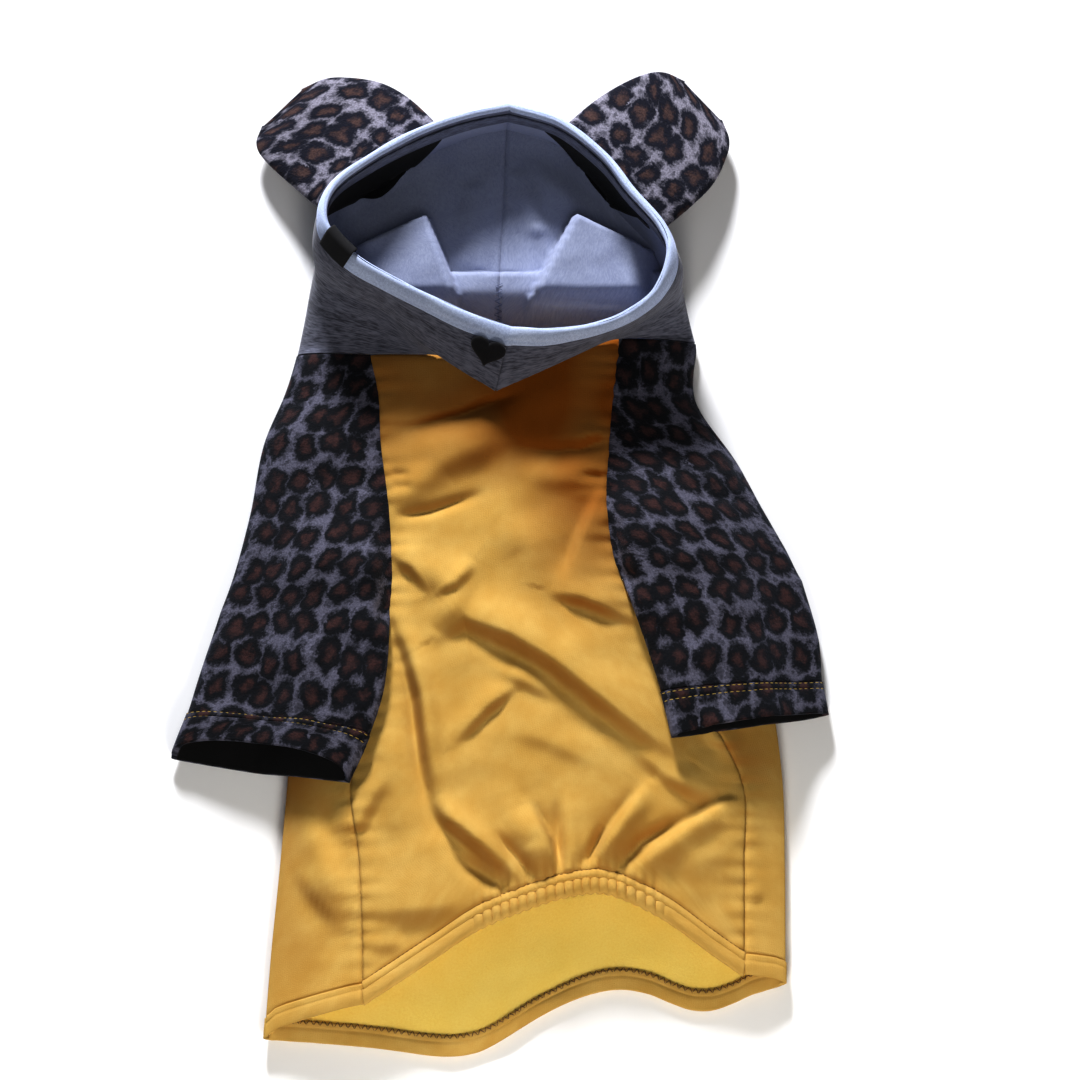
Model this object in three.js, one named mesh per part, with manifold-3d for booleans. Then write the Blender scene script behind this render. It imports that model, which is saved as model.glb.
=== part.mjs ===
// Dog hoodie with ears, laid on its back with the belly side up. Millimetres, +Z up, +Y towards the hood.
// Every cloth piece is a wall round a curved middle surface that is worked out from the tables below.
import * as THREE from 'three';
import { mergeVertices } from 'three/addons/utils/BufferGeometryUtils.js';
import Module from 'manifold-3d';

// Body
const bodyLength = 356;
const bodyWidth = 256;
const bodyLoft = 27;
const foldRadius = 4.5;
const hemDepth = 10;
const gatherHeight = 1.5;
const gatherCount = 20;

// Sleeves
const sleeveLength = 216;
const sleeveWidth = 88;
const sleeveLoft = 13;
const sleeveFold = 3.2;
const cuffDepth = 22;

// Hood
const hoodWidth = 172;
const faceLength = 114;
const hoodHeight = 60;
const flapHeight = 21;
const rimDepth = 10;
const rimWall = 4.6;

// Ears, badge and tab
const earLength = 57;
const earWidth = 72;
const earThickness = 12;
const badgeWidth = 18;
const badgeHeight = 15;
const badgeWall = 1.2;
const tabWidth = 17;
const tabWall = 1;

// Cloth walls and clearances
const clothWall = 1.8;
const hemWall = 3;
const fleeceWall = 2.2;
const cuffWall = 3.2;
const seamGap = 0.5;
const hemGap = 0.8;
const armholeGap = 1.2;
const layGap = 0.9;

// Where the neck seam crosses the garment's long axis
const neckY = 0.3 * bodyLength;

// Body outline and height. at and every length down the body are shares of bodyLength below the neck seam;
// seams, folds and raglans across it are shares of bodyWidth from the middle; loft is a share of bodyLoft.
const bodyRows = [
  { at: 0.0, seamL: -0.259, seamR: 0.235, foldL: -0.386, foldR: 0.372, back: 0.095, loft: 0.86 },
  { at: 0.07, seamL: -0.238, seamR: 0.224, foldL: -0.388, foldR: 0.38, back: 0.075, loft: 0.92 },
  { at: 0.14, seamL: -0.233, seamR: 0.216, foldL: -0.389, foldR: 0.4, back: 0.05, loft: 0.96 },
  { at: 0.24, seamL: -0.216, seamR: 0.212, foldL: -0.39, foldR: 0.44, back: 0.03, loft: 1.0 },
  { at: 0.35, seamL: -0.212, seamR: 0.245, foldL: -0.39, foldR: 0.48, back: 0.02, loft: 1.0 },
  { at: 0.49, seamL: -0.237, seamR: 0.37, foldL: -0.394, foldR: 0.524, back: 0.02, loft: 1.0 },
  { at: 0.61, seamL: -0.286, seamR: 0.468, foldL: -0.407, foldR: 0.546, back: 0.02, loft: 0.98 },
  { at: 0.73, seamL: -0.27, seamR: 0.474, foldL: -0.421, foldR: 0.55, back: 0.02, loft: 0.92 },
  { at: 0.86, seamL: -0.263, seamR: 0.474, foldL: -0.438, foldR: 0.55, back: 0.02, loft: 0.78 },
  { at: 1.0, seamL: -0.265, seamR: 0.474, foldL: -0.452, foldR: 0.548, back: 0.02, loft: 0.6 },
];

// Neck seam and hem edges. at runs from the left seam to the right seam of each panel,
// and each value is a share of bodyLength below the neck seam.
const neckRows = [
  { at: 0, down: 0.012 },
  { at: 0.5, down: 0.014 },
  { at: 1, down: -0.011 },
];
const bellyHemRows = [
  { at: 0, down: 0.926 },
  { at: 0.19, down: 0.861 },
  { at: 0.3, down: 0.824 },
  { at: 0.45, down: 0.792 },
  { at: 0.57, down: 0.775 },
  { at: 0.65, down: 0.775 },
  { at: 0.79, down: 0.808 },
  { at: 0.92, down: 0.856 },
  { at: 1, down: 0.884 },
];
const backHemRows = [
  { at: 0, down: 0.926 },
  { at: 0.14, down: 0.966 },
  { at: 0.19, down: 0.974 },
  { at: 0.33, down: 0.985 },
  { at: 0.44, down: 0.997 },
  { at: 0.5, down: 0.993 },
  { at: 0.6, down: 0.935 },
  { at: 0.7, down: 0.905 },
  { at: 0.8, down: 0.922 },
  { at: 0.86, down: 0.93 },
  { at: 0.93, down: 0.905 },
  { at: 1, down: 0.884 },
];

// Folds of the belly: ends as shares of bodyWidth and bodyLength, spread as a share of bodyWidth,
// rise as a share of bodyLoft, below zero for a valley.
const foldRows = [
  { x0: -0.2, y0: 0.12, x1: 0.03, y1: 0.07, spread: 0.022, rise: -0.09 },
  { x0: -0.21, y0: 0.235, x1: -0.03, y1: 0.2, spread: 0.02, rise: -0.08 },
  { x0: -0.21, y0: 0.21, x1: -0.11, y1: 0.16, spread: 0.02, rise: 0.08 },
  { x0: -0.18, y0: 0.31, x1: -0.12, y1: 0.345, spread: 0.02, rise: -0.1 },
  { x0: -0.12, y0: 0.345, x1: -0.05, y1: 0.305, spread: 0.02, rise: -0.09 },
  { x0: -0.06, y0: 0.32, x1: -0.11, y1: 0.4, spread: 0.02, rise: 0.1 },
  { x0: -0.11, y0: 0.4, x1: 0.03, y1: 0.405, spread: 0.018, rise: -0.13 },
  { x0: 0.03, y0: 0.405, x1: 0.2, y1: 0.495, spread: 0.022, rise: -0.15 },
  { x0: 0.2, y0: 0.495, x1: 0.35, y1: 0.57, spread: 0.022, rise: -0.11 },
  { x0: 0.0, y0: 0.365, x1: 0.27, y1: 0.49, spread: 0.025, rise: 0.1 },
  { x0: 0.2, y0: 0.2, x1: 0.15, y1: 0.32, spread: 0.02, rise: -0.09 },
  { x0: 0.1, y0: 0.345, x1: 0.24, y1: 0.375, spread: 0.018, rise: -0.08 },
  { x0: 0.03, y0: 0.135, x1: 0.2, y1: 0.135, spread: 0.022, rise: -0.06 },
  { x0: -0.2, y0: 0.38, x1: -0.13, y1: 0.54, spread: 0.024, rise: 0.14 },
  { x0: -0.13, y0: 0.54, x1: -0.1, y1: 0.65, spread: 0.02, rise: 0.12 },
  { x0: -0.17, y0: 0.45, x1: -0.15, y1: 0.6, spread: 0.018, rise: -0.1 },
  { x0: -0.08, y0: 0.545, x1: 0.04, y1: 0.465, spread: 0.018, rise: -0.08 },
  { x0: -0.08, y0: 0.71, x1: 0.01, y1: 0.755, spread: 0.016, rise: -0.09 },
  { x0: -0.04, y0: 0.67, x1: 0.09, y1: 0.735, spread: 0.016, rise: -0.09 },
  { x0: -0.08, y0: 0.65, x1: 0.04, y1: 0.745, spread: 0.016, rise: 0.09 },
  { x0: 0.11, y0: 0.625, x1: 0.12, y1: 0.72, spread: 0.016, rise: -0.08 },
  { x0: 0.3, y0: 0.6, x1: 0.17, y1: 0.715, spread: 0.018, rise: 0.1 },
  { x0: 0.35, y0: 0.66, x1: 0.22, y1: 0.72, spread: 0.016, rise: -0.09 },
  { x0: -0.25, y0: 0.78, x1: -0.07, y1: 0.785, spread: 0.03, rise: -0.08 },
];

// Sleeves as they lie. at is a share of the laid length; width, rise and shift are shares of sleeveWidth.
// rise is how far the outer edge lies above the inner one, and shift how far the inner edge has moved out.
const sleeves = [
  {
    name: 'left',
    out: -1,
    lay: 1,
    rows: [
      { at: 0, width: 0.4, rise: 0.02, shift: 0 },
      { at: 0.19, width: 0.63, rise: 0.02, shift: 0 },
      { at: 0.4, width: 0.79, rise: 0.03, shift: 0 },
      { at: 0.6, width: 0.94, rise: 0.02, shift: 0 },
      { at: 0.78, width: 1.03, rise: 0.09, shift: 0.03 },
      { at: 0.9, width: 1.01, rise: 0.15, shift: 0.12 },
      { at: 1, width: 0.98, rise: 0.16, shift: 0.23 },
    ],
  },
  {
    name: 'right',
    out: 1,
    lay: 0.94,
    rows: [
      { at: 0, width: 0.42, rise: 0, shift: 0 },
      { at: 0.17, width: 0.46, rise: 0.05, shift: 0 },
      { at: 0.34, width: 0.75, rise: 0.04, shift: 0 },
      { at: 0.52, width: 0.96, rise: 0.03, shift: 0 },
      { at: 0.6, width: 1, rise: 0.01, shift: 0.02 },
      { at: 0.75, width: 0.97, rise: 0.03, shift: 0.14 },
      { at: 0.89, width: 0.89, rise: 0.1, shift: 0.24 },
      { at: 1, width: 0.86, rise: 0.17, shift: 0.3 },
    ],
  },
];
const armpitShare = 0.6;

// Hood halves, a row for each rib from the chin to the crown. at runs along the rim. rimX and baseX are shares
// of hoodWidth from the middle, rimY and baseY shares of faceLength from the hood's centre, rimZ and baseZ
// shares of hoodHeight. neck is the rib's place on the neck ring, and floor is 1 where the rib lies down.
const hoodSides = [
  {
    name: 'left',
    out: -1,
    rows: [
      { at: 0, rimX: 0.036, rimY: -0.588, rimZ: 0.9, baseX: -0.01, baseY: -0.833, baseZ: 0.58, neck: 0, floor: 0 },
      { at: 0.1, rimX: -0.086, rimY: -0.526, rimZ: 0.9, baseX: -0.13, baseY: -0.72, baseZ: 0.56, neck: 0.1, floor: 0 },
      { at: 0.2, rimX: -0.208, rimY: -0.443, rimZ: 0.92, baseX: -0.237, baseY: -0.6, baseZ: 0.54, neck: 0.2, floor: 0 },
      { at: 0.3, rimX: -0.318, rimY: -0.364, rimZ: 0.95, baseX: -0.335, baseY: -0.48, baseZ: 0.56, neck: 0.3, floor: 0 },
      { at: 0.4, rimX: -0.42, rimY: -0.268, rimZ: 0.98, baseX: -0.45, baseY: -0.4, baseZ: 0.58, neck: 0.4, floor: 0 },
      { at: 0.5, rimX: -0.5, rimY: -0.12, rimZ: 1, baseX: -0.53, baseY: -0.28, baseZ: 0.46, neck: 0.5, floor: 0.25 },
      { at: 0.6, rimX: -0.484, rimY: 0.03, rimZ: 0.92, baseX: -0.48, baseY: 0.0, baseZ: 0.12, neck: 0.6, floor: 1 },
      { at: 0.72, rimX: -0.37, rimY: 0.184, rimZ: 0.8, baseX: -0.345, baseY: 0.155, baseZ: 0.05, neck: 0.7, floor: 1 },
      { at: 0.84, rimX: -0.231, rimY: 0.316, rimZ: 0.67, baseX: -0.21, baseY: 0.28, baseZ: 0.04, neck: 0.8, floor: 1 },
      { at: 0.93, rimX: -0.1, rimY: 0.4, rimZ: 0.57, baseX: -0.09, baseY: 0.36, baseZ: 0.04, neck: 0.9, floor: 1 },
      { at: 1, rimX: 0.028, rimY: 0.447, rimZ: 0.52, baseX: 0.02, baseY: 0.4, baseZ: 0.04, neck: 1, floor: 1 },
    ],
  },
  {
    name: 'right',
    out: 1,
    rows: [
      { at: 0, rimX: 0.036, rimY: -0.588, rimZ: 0.9, baseX: -0.01, baseY: -0.833, baseZ: 0.58, neck: 0, floor: 0 },
      { at: 0.12, rimX: 0.161, rimY: -0.596, rimZ: 0.9, baseX: 0.118, baseY: -0.745, baseZ: 0.56, neck: 0.1, floor: 0 },
      { at: 0.25, rimX: 0.295, rimY: -0.57, rimZ: 0.92, baseX: 0.249, baseY: -0.65, baseZ: 0.54, neck: 0.22, floor: 0 },
      { at: 0.35, rimX: 0.385, rimY: -0.51, rimZ: 0.93, baseX: 0.37, baseY: -0.56, baseZ: 0.55, neck: 0.32, floor: 0 },
      { at: 0.43, rimX: 0.452, rimY: -0.42, rimZ: 0.97, baseX: 0.455, baseY: -0.48, baseZ: 0.55, neck: 0.41, floor: 0 },
      { at: 0.55, rimX: 0.487, rimY: -0.255, rimZ: 0.97, baseX: 0.525, baseY: -0.36, baseZ: 0.46, neck: 0.5, floor: 0.25 },
      { at: 0.65, rimX: 0.467, rimY: -0.13, rimZ: 0.9, baseX: 0.45, baseY: -0.15, baseZ: 0.12, neck: 0.6, floor: 1 },
      { at: 0.75, rimX: 0.379, rimY: 0.04, rimZ: 0.8, baseX: 0.355, baseY: 0.01, baseZ: 0.05, neck: 0.7, floor: 1 },
      { at: 0.85, rimX: 0.295, rimY: 0.215, rimZ: 0.7, baseX: 0.275, baseY: 0.18, baseZ: 0.04, neck: 0.8, floor: 1 },
      { at: 0.93, rimX: 0.176, rimY: 0.37, rimZ: 0.58, baseX: 0.165, baseY: 0.33, baseZ: 0.04, neck: 0.9, floor: 1 },
      { at: 1, rimX: 0.028, rimY: 0.447, rimZ: 0.52, baseX: 0.02, baseY: 0.4, baseZ: 0.04, neck: 1, floor: 1 },
    ],
  },
];
const hoodY = neckY + 0.615 * faceLength;

// Ears. baseX and baseY place the middle of the base as the hood's rows do, turn is the way the ear points
// in degrees from +X, lean the sideways drift of its tip as a share of earWidth, and the rows give its half
// widths as shares of earWidth, its middle height and its thickness as shares of earThickness, along a share of
// earLength.
const ears = [
  { name: 'left', baseX: -0.353, baseY: 0.19, turn: 134, lean: 0.17 },
  { name: 'right', baseX: 0.35, baseY: 0.165, turn: 43, lean: 0 },
];
const earRows = [
  { at: 0, near: 0.5, far: 0.5, middle: 1.75, thick: 1 },
  { at: 0.25, near: 0.5, far: 0.49, middle: 1.45, thick: 1 },
  { at: 0.55, near: 0.46, far: 0.45, middle: 1.1, thick: 0.92 },
  { at: 0.8, near: 0.38, far: 0.38, middle: 0.85, thick: 0.8 },
  { at: 0.93, near: 0.3, far: 0.3, middle: 0.75, thick: 0.66 },
  { at: 1, near: 0.19, far: 0.19, middle: 0.7, thick: 0.5 },
];

const clamp = THREE.MathUtils.clamp;
const mix = THREE.MathUtils.lerp;
const step = (x, from, to) => THREE.MathUtils.smoothstep(x, from, to);

// Smooth value of one column of a table between its rows
function read(rows, key, at) {
  const last = rows.length - 1;
  if (at <= rows[0].at) return rows[0][key];
  if (at >= rows[last].at) return rows[last][key];
  const i = rows.findIndex((row) => row.at > at) - 1;
  const slope = (j) => {
    const before = rows[Math.max(0, j - 1)];
    const after = rows[Math.min(last, j + 1)];
    return (after[key] - before[key]) / (after.at - before.at);
  };
  const span = rows[i + 1].at - rows[i].at;
  const t = (at - rows[i].at) / span;
  const rise = rows[i + 1][key] - rows[i][key];
  const bend = (1 - t) * (slope(i) * span - rise) - t * (slope(i + 1) * span - rise);
  return rows[i][key] + t * rise + t * (1 - t) * bend;
}

// Share of the body's length below the neck seam, and back
const shareDown = (y) => (neckY - y) / bodyLength;
const downTo = (share) => neckY - share * bodyLength;

// Belly seam and body fold on one side (out is -1 on the left, 1 on the right)
const seamX = (out, y) => bodyWidth * read(bodyRows, out < 0 ? 'seamL' : 'seamR', shareDown(y));
const foldX = (out, y) => bodyWidth * read(bodyRows, out < 0 ? 'foldL' : 'foldR', shareDown(y));

// Sum of the folds' heights at a point of the belly
function foldHeight(x, y) {
  const px = x / bodyWidth;
  const py = shareDown(y);
  const tall = bodyLength / bodyWidth;
  let height = 0;
  for (const fold of foldRows) {
    const alongX = fold.x1 - fold.x0;
    const alongY = (fold.y1 - fold.y0) * tall;
    const reach = alongX * alongX + alongY * alongY;
    const t = ((px - fold.x0) * alongX + (py - fold.y0) * tall * alongY) / reach;
    const near = clamp(t, 0, 1);
    const gapX = px - fold.x0 - near * alongX;
    const gapY = (py - fold.y0) * tall - near * alongY;
    height += fold.rise * Math.exp(-(gapX * gapX + gapY * gapY) / (fold.spread * fold.spread));
  }
  return height * bodyLoft;
}

// Height of the middle of the cloth on the belly side
function bodyTop(x, y) {
  const left = foldX(-1, y);
  const right = foldX(1, y);
  const inset = clamp(Math.min(x - left, right - x) / ((right - left) / 2), 0, 1);
  const rise = Math.pow(1 - Math.pow(1 - inset, 2.2), 0.8);
  const loft = bodyLoft * read(bodyRows, 'loft', shareDown(y));
  const quiet = step(inset, 0.02, 0.3) * step(shareDown(y), 0.02, 0.07);
  return clothWall / 2 + foldRadius + (loft - foldRadius) * rise + foldHeight(x, y) * quiet;
}

// The body's section on one side, by the distance q from its outermost point: above zero over the top,
// below zero round the fold and along the floor
const foldReach = foldRadius * 1.5;
const foldArc = foldRadius * 2;
const softness = 8;
const insetOf = (q) => (q * q) / (q + softness);
const reachOf = (inset) => (inset + Math.sqrt(inset * inset + 4 * softness * inset)) / 2;

function sectionPoint(out, q, y) {
  const fold = foldX(out, y);
  if (q >= 0) {
    const x = fold - out * insetOf(q);
    return new THREE.Vector3(x, y, bodyTop(x, y));
  }
  const turn = Math.min(1, -q / foldArc) * (Math.PI / 2);
  const along = Math.max(0, -q - foldArc);
  const x = fold - out * (foldReach * (1 - Math.cos(turn)) + along);
  return new THREE.Vector3(x, y, clothWall / 2 + foldRadius * (1 - Math.sin(turn)));
}

// Where the belly's neck edge lies on each side, and how far down the armpit is
const neckDown = (out) => read(neckRows, 'down', out < 0 ? 0 : 1);
const armpitDown = (sleeve) => {
  const laid = (armpitShare * sleeveLength * sleeve.lay) / bodyLength;
  return neckDown(sleeve.out) + laid;
};

// Edge of the back panel as a distance from the fold: side seam below the armpit, raglan seam above it
function backEdge(out, y) {
  const sleeve = sleeves.find((one) => one.out === out);
  const down = shareDown(y);
  const armpit = armpitDown(sleeve);
  const over = reachOf(Math.abs(seamX(out, y) - foldX(out, y)));
  const under = -foldArc - bodyWidth * read(bodyRows, 'back', down);
  const short = (sleeveFold * 3) * (1 - step(down, armpit, armpit + 0.02));
  return mix(under, over - short, step(down, armpit - 0.16, armpit));
}

// Point of the back panel: u runs from its left edge round the floor to its right edge
function backPoint(u, y) {
  const edgeL = backEdge(-1, y);
  const edgeR = backEdge(1, y);
  const floorHalf = (foldX(1, y) - foldX(-1, y)) / 2 - foldReach;
  const lengthL = edgeL + foldArc + floorHalf;
  const lengthR = edgeR + foldArc + floorHalf;
  const total = lengthL + lengthR;
  const slices = 90;
  const weight = (t) => {
    const q = t < lengthL ? edgeL - t : edgeR - (total - t);
    return 1 + 3 * Math.exp(-Math.pow(q / (foldRadius * 1.8), 2));
  };
  const sums = [0];
  for (let i = 0; i < slices; i += 1) sums.push(sums[i] + weight(((i + 0.5) / slices) * total));
  const goal = clamp(u, 0, 1) * sums[slices];
  let i = 0;
  while (i < slices - 1 && sums[i + 1] < goal) i += 1;
  const t = ((i + (goal - sums[i]) / (sums[i + 1] - sums[i])) / slices) * total;
  return t < lengthL ? sectionPoint(-1, edgeL - t, y) : sectionPoint(1, edgeR - (total - t), y);
}

// Height at which the middle of a sleeve's underside rests on the floor or over the body's side
function restHeight(out, x, y) {
  const inset = -out * (x - foldX(out, y));
  const shelf = foldRadius * 2.6;
  const skirt = foldRadius * 4.4;
  const lift = clothWall / 2 + layGap;
  const shelfTop = bodyTop(foldX(out, y) - out * shelf, y) + lift;
  const drape = shelfTop * step(inset, -skirt, shelf);
  const cover = inset > 0 ? bodyTop(x, y) + lift : 0;
  return fleeceWall / 2 + Math.max(drape, cover);
}

// Point of a sleeve: v runs from the neck to the mouth, u from the front seam over the top, round the
// outer fold and back underneath to the back seam
function sleevePoint(sleeve, u, v) {
  const { out, rows, lay } = sleeve;
  const startY = downTo(neckDown(out));
  const innerY = startY - v * sleeveLength * lay;
  const armpit = armpitDown(sleeve);
  const below = step(v, armpitShare, armpitShare + 0.07);
  const seamAt = seamX(out, Math.max(innerY, downTo(armpit)));
  const innerX = seamAt + out * (seamGap / 2 + sleeveWidth * read(rows, 'shift', v));
  const width = sleeveWidth * read(rows, 'width', v);
  const outerX = innerX + out * width;
  const outerY = innerY + sleeveWidth * read(rows, 'rise', v);
  const backY = innerY;
  const edge = backEdge(out, backY);
  const aside = mix(armholeGap, clothWall + fleeceWall + seamGap, step(edge, -foldArc * 2.4, -foldArc));
  const edgeX = sectionPoint(out, edge, backY).x + out * aside * (1 - step(edge, 0, foldRadius));
  const endShare = mix(clamp((edgeX - innerX) / (outerX - innerX), 0, 0.9), 0, below);
  const upper = u < 0.5;
  const turn = upper ? u * 2 : (1 - u) * 2;
  const around = (1 - Math.cos(Math.PI * turn)) / 2;
  const across = upper ? around : endShare + (1 - endShare) * around;
  const x = mix(innerX, outerX, across);
  const y = mix(innerY, outerY, across);
  const down = shareDown(innerY);
  const onBody = step(down, armpit - 0.26, armpit - 0.13);
  const floor = fleeceWall / 2;
  const rest = mix(floor, restHeight(out, x, y), onBody);
  const round = Math.pow(clamp(4 * across * (1 - across), 0, 1), 0.42);
  const seamZ = bodyTop(seamAt, innerY);
  const closedTop = rest + sleeveFold + (sleeveLoft - sleeveFold) * round + 0.2 * seamGap;
  const closedUnder = rest + sleeveFold * (1 - round) - 0.8 * seamGap * (1 - round);
  if (upper) {
    const outward = Math.pow(1 - Math.pow(across, 2.2), 0.7);
    const neckTop = floor + sleeveFold + (seamZ - floor - sleeveFold) * outward;
    const climb = step(across * width, 0, sleeveFold * 3);
    const sideTop = mix(seamZ, closedTop, climb);
    const openTop = mix(neckTop, sideTop, step(down, armpit - 0.2, armpit - 0.04));
    return new THREE.Vector3(x, y, mix(openTop, closedTop, below));
  }
  const endZ = mix(floor, restHeight(out, edgeX, backY), step(edge, -foldArc, foldRadius));
  const outerRound = across > 0.5 ? rest + sleeveFold * (1 - round) : rest;
  const nearEnd = 1 - step(Math.abs(x - edgeX), 0, foldRadius * 3);
  const openUnder = mix(outerRound, endZ, nearEnd);
  return new THREE.Vector3(x, y, mix(openUnder, closedUnder, below));
}

// Neck and hem edges of the body's panels, and the belly panel: u from its left to its right seam
const neckEdgeY = (u) => downTo(read(neckRows, 'down', u));
const bellyHemY = (u) => downTo(read(bellyHemRows, 'down', u));
const backHemY = (u) => downTo(read(backHemRows, 'down', u));

function bellyPoint(u, y) {
  const left = seamX(-1, y) + hemGap;
  const right = seamX(1, y) - hemGap;
  const x = mix(left, right, u);
  return new THREE.Vector3(x, y, bodyTop(x, y));
}

// Closed solid of a cloth wall round a middle surface, on a grid of parameters
function clothSolid(point, us, vs, wall, { closed = false } = {}) {
  const small = 1e-3;
  const outer = [];
  const inner = [];
  const columns = us.length;
  for (const v of vs) {
    for (const u of us) {
      const middle = point(u, v);
      const low = closed ? u - small : Math.max(us[0], u - small);
      const high = closed ? u + small : Math.min(us[columns - 1], u + small);
      const before = Math.max(vs[0], v - small);
      const after = Math.min(vs[vs.length - 1], v + small);
      const across = point(high, v).sub(point(low, v));
      const along = point(u, after).sub(point(u, before));
      const normal = across.cross(along).normalize().multiplyScalar(wall / 2);
      outer.push(middle.clone().add(normal));
      inner.push(middle.clone().sub(normal));
    }
  }
  const points = [...outer, ...inner];
  for (const place of points) place.z = Math.max(0, place.z);
  const faces = [];
  const quad = (a, b, c, d) => faces.push(a, b, c, a, c, d);
  const shift = outer.length;
  const last = closed ? columns : columns - 1;
  for (let j = 0; j < vs.length - 1; j += 1) {
    for (let i = 0; i < last; i += 1) {
      const k = (i + 1) % columns;
      const a = j * columns + i;
      const b = j * columns + k;
      const c = (j + 1) * columns + k;
      const d = (j + 1) * columns + i;
      quad(a, b, c, d);
      quad(shift + a, shift + d, shift + c, shift + b);
    }
  }
  const top = (vs.length - 1) * columns;
  for (let i = 0; i < last; i += 1) {
    const k = (i + 1) % columns;
    quad(k, i, shift + i, shift + k);
    quad(top + i, top + k, shift + top + k, shift + top + i);
  }
  if (!closed) {
    for (let j = 0; j < vs.length - 1; j += 1) {
      const a = j * columns;
      const b = (j + 1) * columns;
      quad(a, b, shift + b, shift + a);
      quad(b + last, a + last, shift + a + last, shift + b + last);
    }
  }
  return solid(points, faces);
}

// Geometry from points and triangles, turned so that its faces point out
function solid(points, faces) {
  let volume = 0;
  for (let i = 0; i < faces.length; i += 3) {
    const [a, b, c] = [points[faces[i]], points[faces[i + 1]], points[faces[i + 2]]];
    volume += a.dot(b.clone().cross(c));
  }
  const order = volume > 0 ? faces : faces.slice().reverse();
  const geometry = new THREE.BufferGeometry();
  geometry.setAttribute('position', new THREE.Float32BufferAttribute(points.flatMap((p) => [p.x, p.y, p.z]), 3));
  geometry.setIndex(order);
  return geometry;
}

// Closed solid through rings of equal counts: a loop of rings, or a run of rings capped at both ends
function ringSolid(rings, { loop = false } = {}) {
  const count = rings[0].length;
  const points = rings.flat();
  const faces = [];
  const runs = loop ? rings.length : rings.length - 1;
  for (let j = 0; j < runs; j += 1) {
    for (let i = 0; i < count; i += 1) {
      const k = (i + 1) % count;
      const below = j * count;
      const above = ((j + 1) % rings.length) * count;
      faces.push(below + i, below + k, above + k, below + i, above + k, above + i);
    }
  }
  if (!loop) {
    const top = (rings.length - 1) * count;
    for (let i = 1; i < count - 1; i += 1) {
      faces.push(0, i + 1, i);
      faces.push(top, top + i, top + i + 1);
    }
  }
  return solid(points, faces);
}

const spaced = (count, from = 0, to = 1) => {
  return Array.from({ length: count + 1 }, (_, i) => mix(from, to, i / count));
};

// Body panels and hems
const backPanel = clothSolid(
  (u, v) => backPoint(u, mix(neckEdgeY(u), backHemY(u) + hemDepth + hemGap, v)),
  spaced(30), spaced(19), clothWall,
);
const backHem = clothSolid(
  (u, v) => {
    const place = backPoint(u, backHemY(u) + hemDepth * (1 - v));
    place.z += (hemWall - clothWall) / 2;
    return place;
  },
  spaced(30), spaced(2), hemWall,
);
const bellyPanel = clothSolid(
  (u, v) => bellyPoint(u, mix(neckEdgeY(u), bellyHemY(u) + hemDepth + hemGap, v)),
  spaced(18), spaced(28), clothWall,
);

// The casing's columns stand close together where the elastic gathers it
const gatherStart = 0.3;
const gatherEnd = 0.78;
const hemColumns = [
  ...spaced(8, 0, gatherStart).slice(0, -1),
  ...spaced(2 * gatherCount, gatherStart, gatherEnd),
  ...spaced(7, gatherEnd, 1).slice(1),
];
const bellyHem = clothSolid(
  (u, v) => {
    const place = bellyPoint(u, bellyHemY(u) + hemDepth * (1 - v));
    const share = (u - gatherStart) / (gatherEnd - gatherStart);
    const inside = step(share, 0, 0.08) * (1 - step(share, 0.92, 1));
    const middle = Math.pow(Math.sin(Math.PI * v), 2);
    place.z += gatherHeight * inside * middle * Math.cos(share * gatherCount * 2 * Math.PI);
    return place;
  },
  hemColumns, spaced(2), hemWall,
);

// Sleeves and their turned hems
const sleeveColumns = spaced(18);
const cuffStart = (sleeve) => 1 - cuffDepth / (sleeveLength * sleeve.lay);
const sleeveSolid = (sleeve) => clothSolid(
  (u, v) => sleevePoint(sleeve, u, v),
  sleeveColumns,
  [...spaced(8, 0, armpitShare), ...spaced(5, armpitShare + 0.035, cuffStart(sleeve) - seamGap / sleeveLength)],
  fleeceWall,
);
const cuffSolid = (sleeve) => clothSolid(
  (u, v) => {
    const place = sleevePoint(sleeve, u - Math.floor(u), v);
    place.z += (cuffWall - fleeceWall) / 2;
    return place;
  },
  spaced(18).slice(0, -1), spaced(2, cuffStart(sleeve), 1), cuffWall, { closed: true },
);

// The neck ring of one half, from the front middle over the sleeve's fold to the back middle
const middleShare = 0.52;
function neckRing(sleeve) {
  const edge = sleeve.out < 0 ? 0 : 1;
  const ring = [];
  for (const t of spaced(10).slice(0, -1)) {
    const u = mix(middleShare, edge, t);
    ring.push(bellyPoint(u, neckEdgeY(u)));
  }
  for (const u of spaced(24)) ring.push(sleevePoint(sleeve, u, 0));
  for (const t of spaced(10).slice(1)) {
    const u = mix(edge, 0.5, t);
    ring.push(backPoint(u, neckEdgeY(u)));
  }
  const lengths = [0];
  for (let i = 1; i < ring.length; i += 1) lengths.push(lengths[i - 1] + ring[i].distanceTo(ring[i - 1]));
  return (share) => {
    const goal = clamp(share, 0, 1) * lengths[ring.length - 1];
    let i = 0;
    while (i < ring.length - 2 && lengths[i + 1] < goal) i += 1;
    const t = (goal - lengths[i]) / (lengths[i + 1] - lengths[i]);
    return ring[i].clone().lerp(ring[i + 1], t);
  };
}

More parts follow.
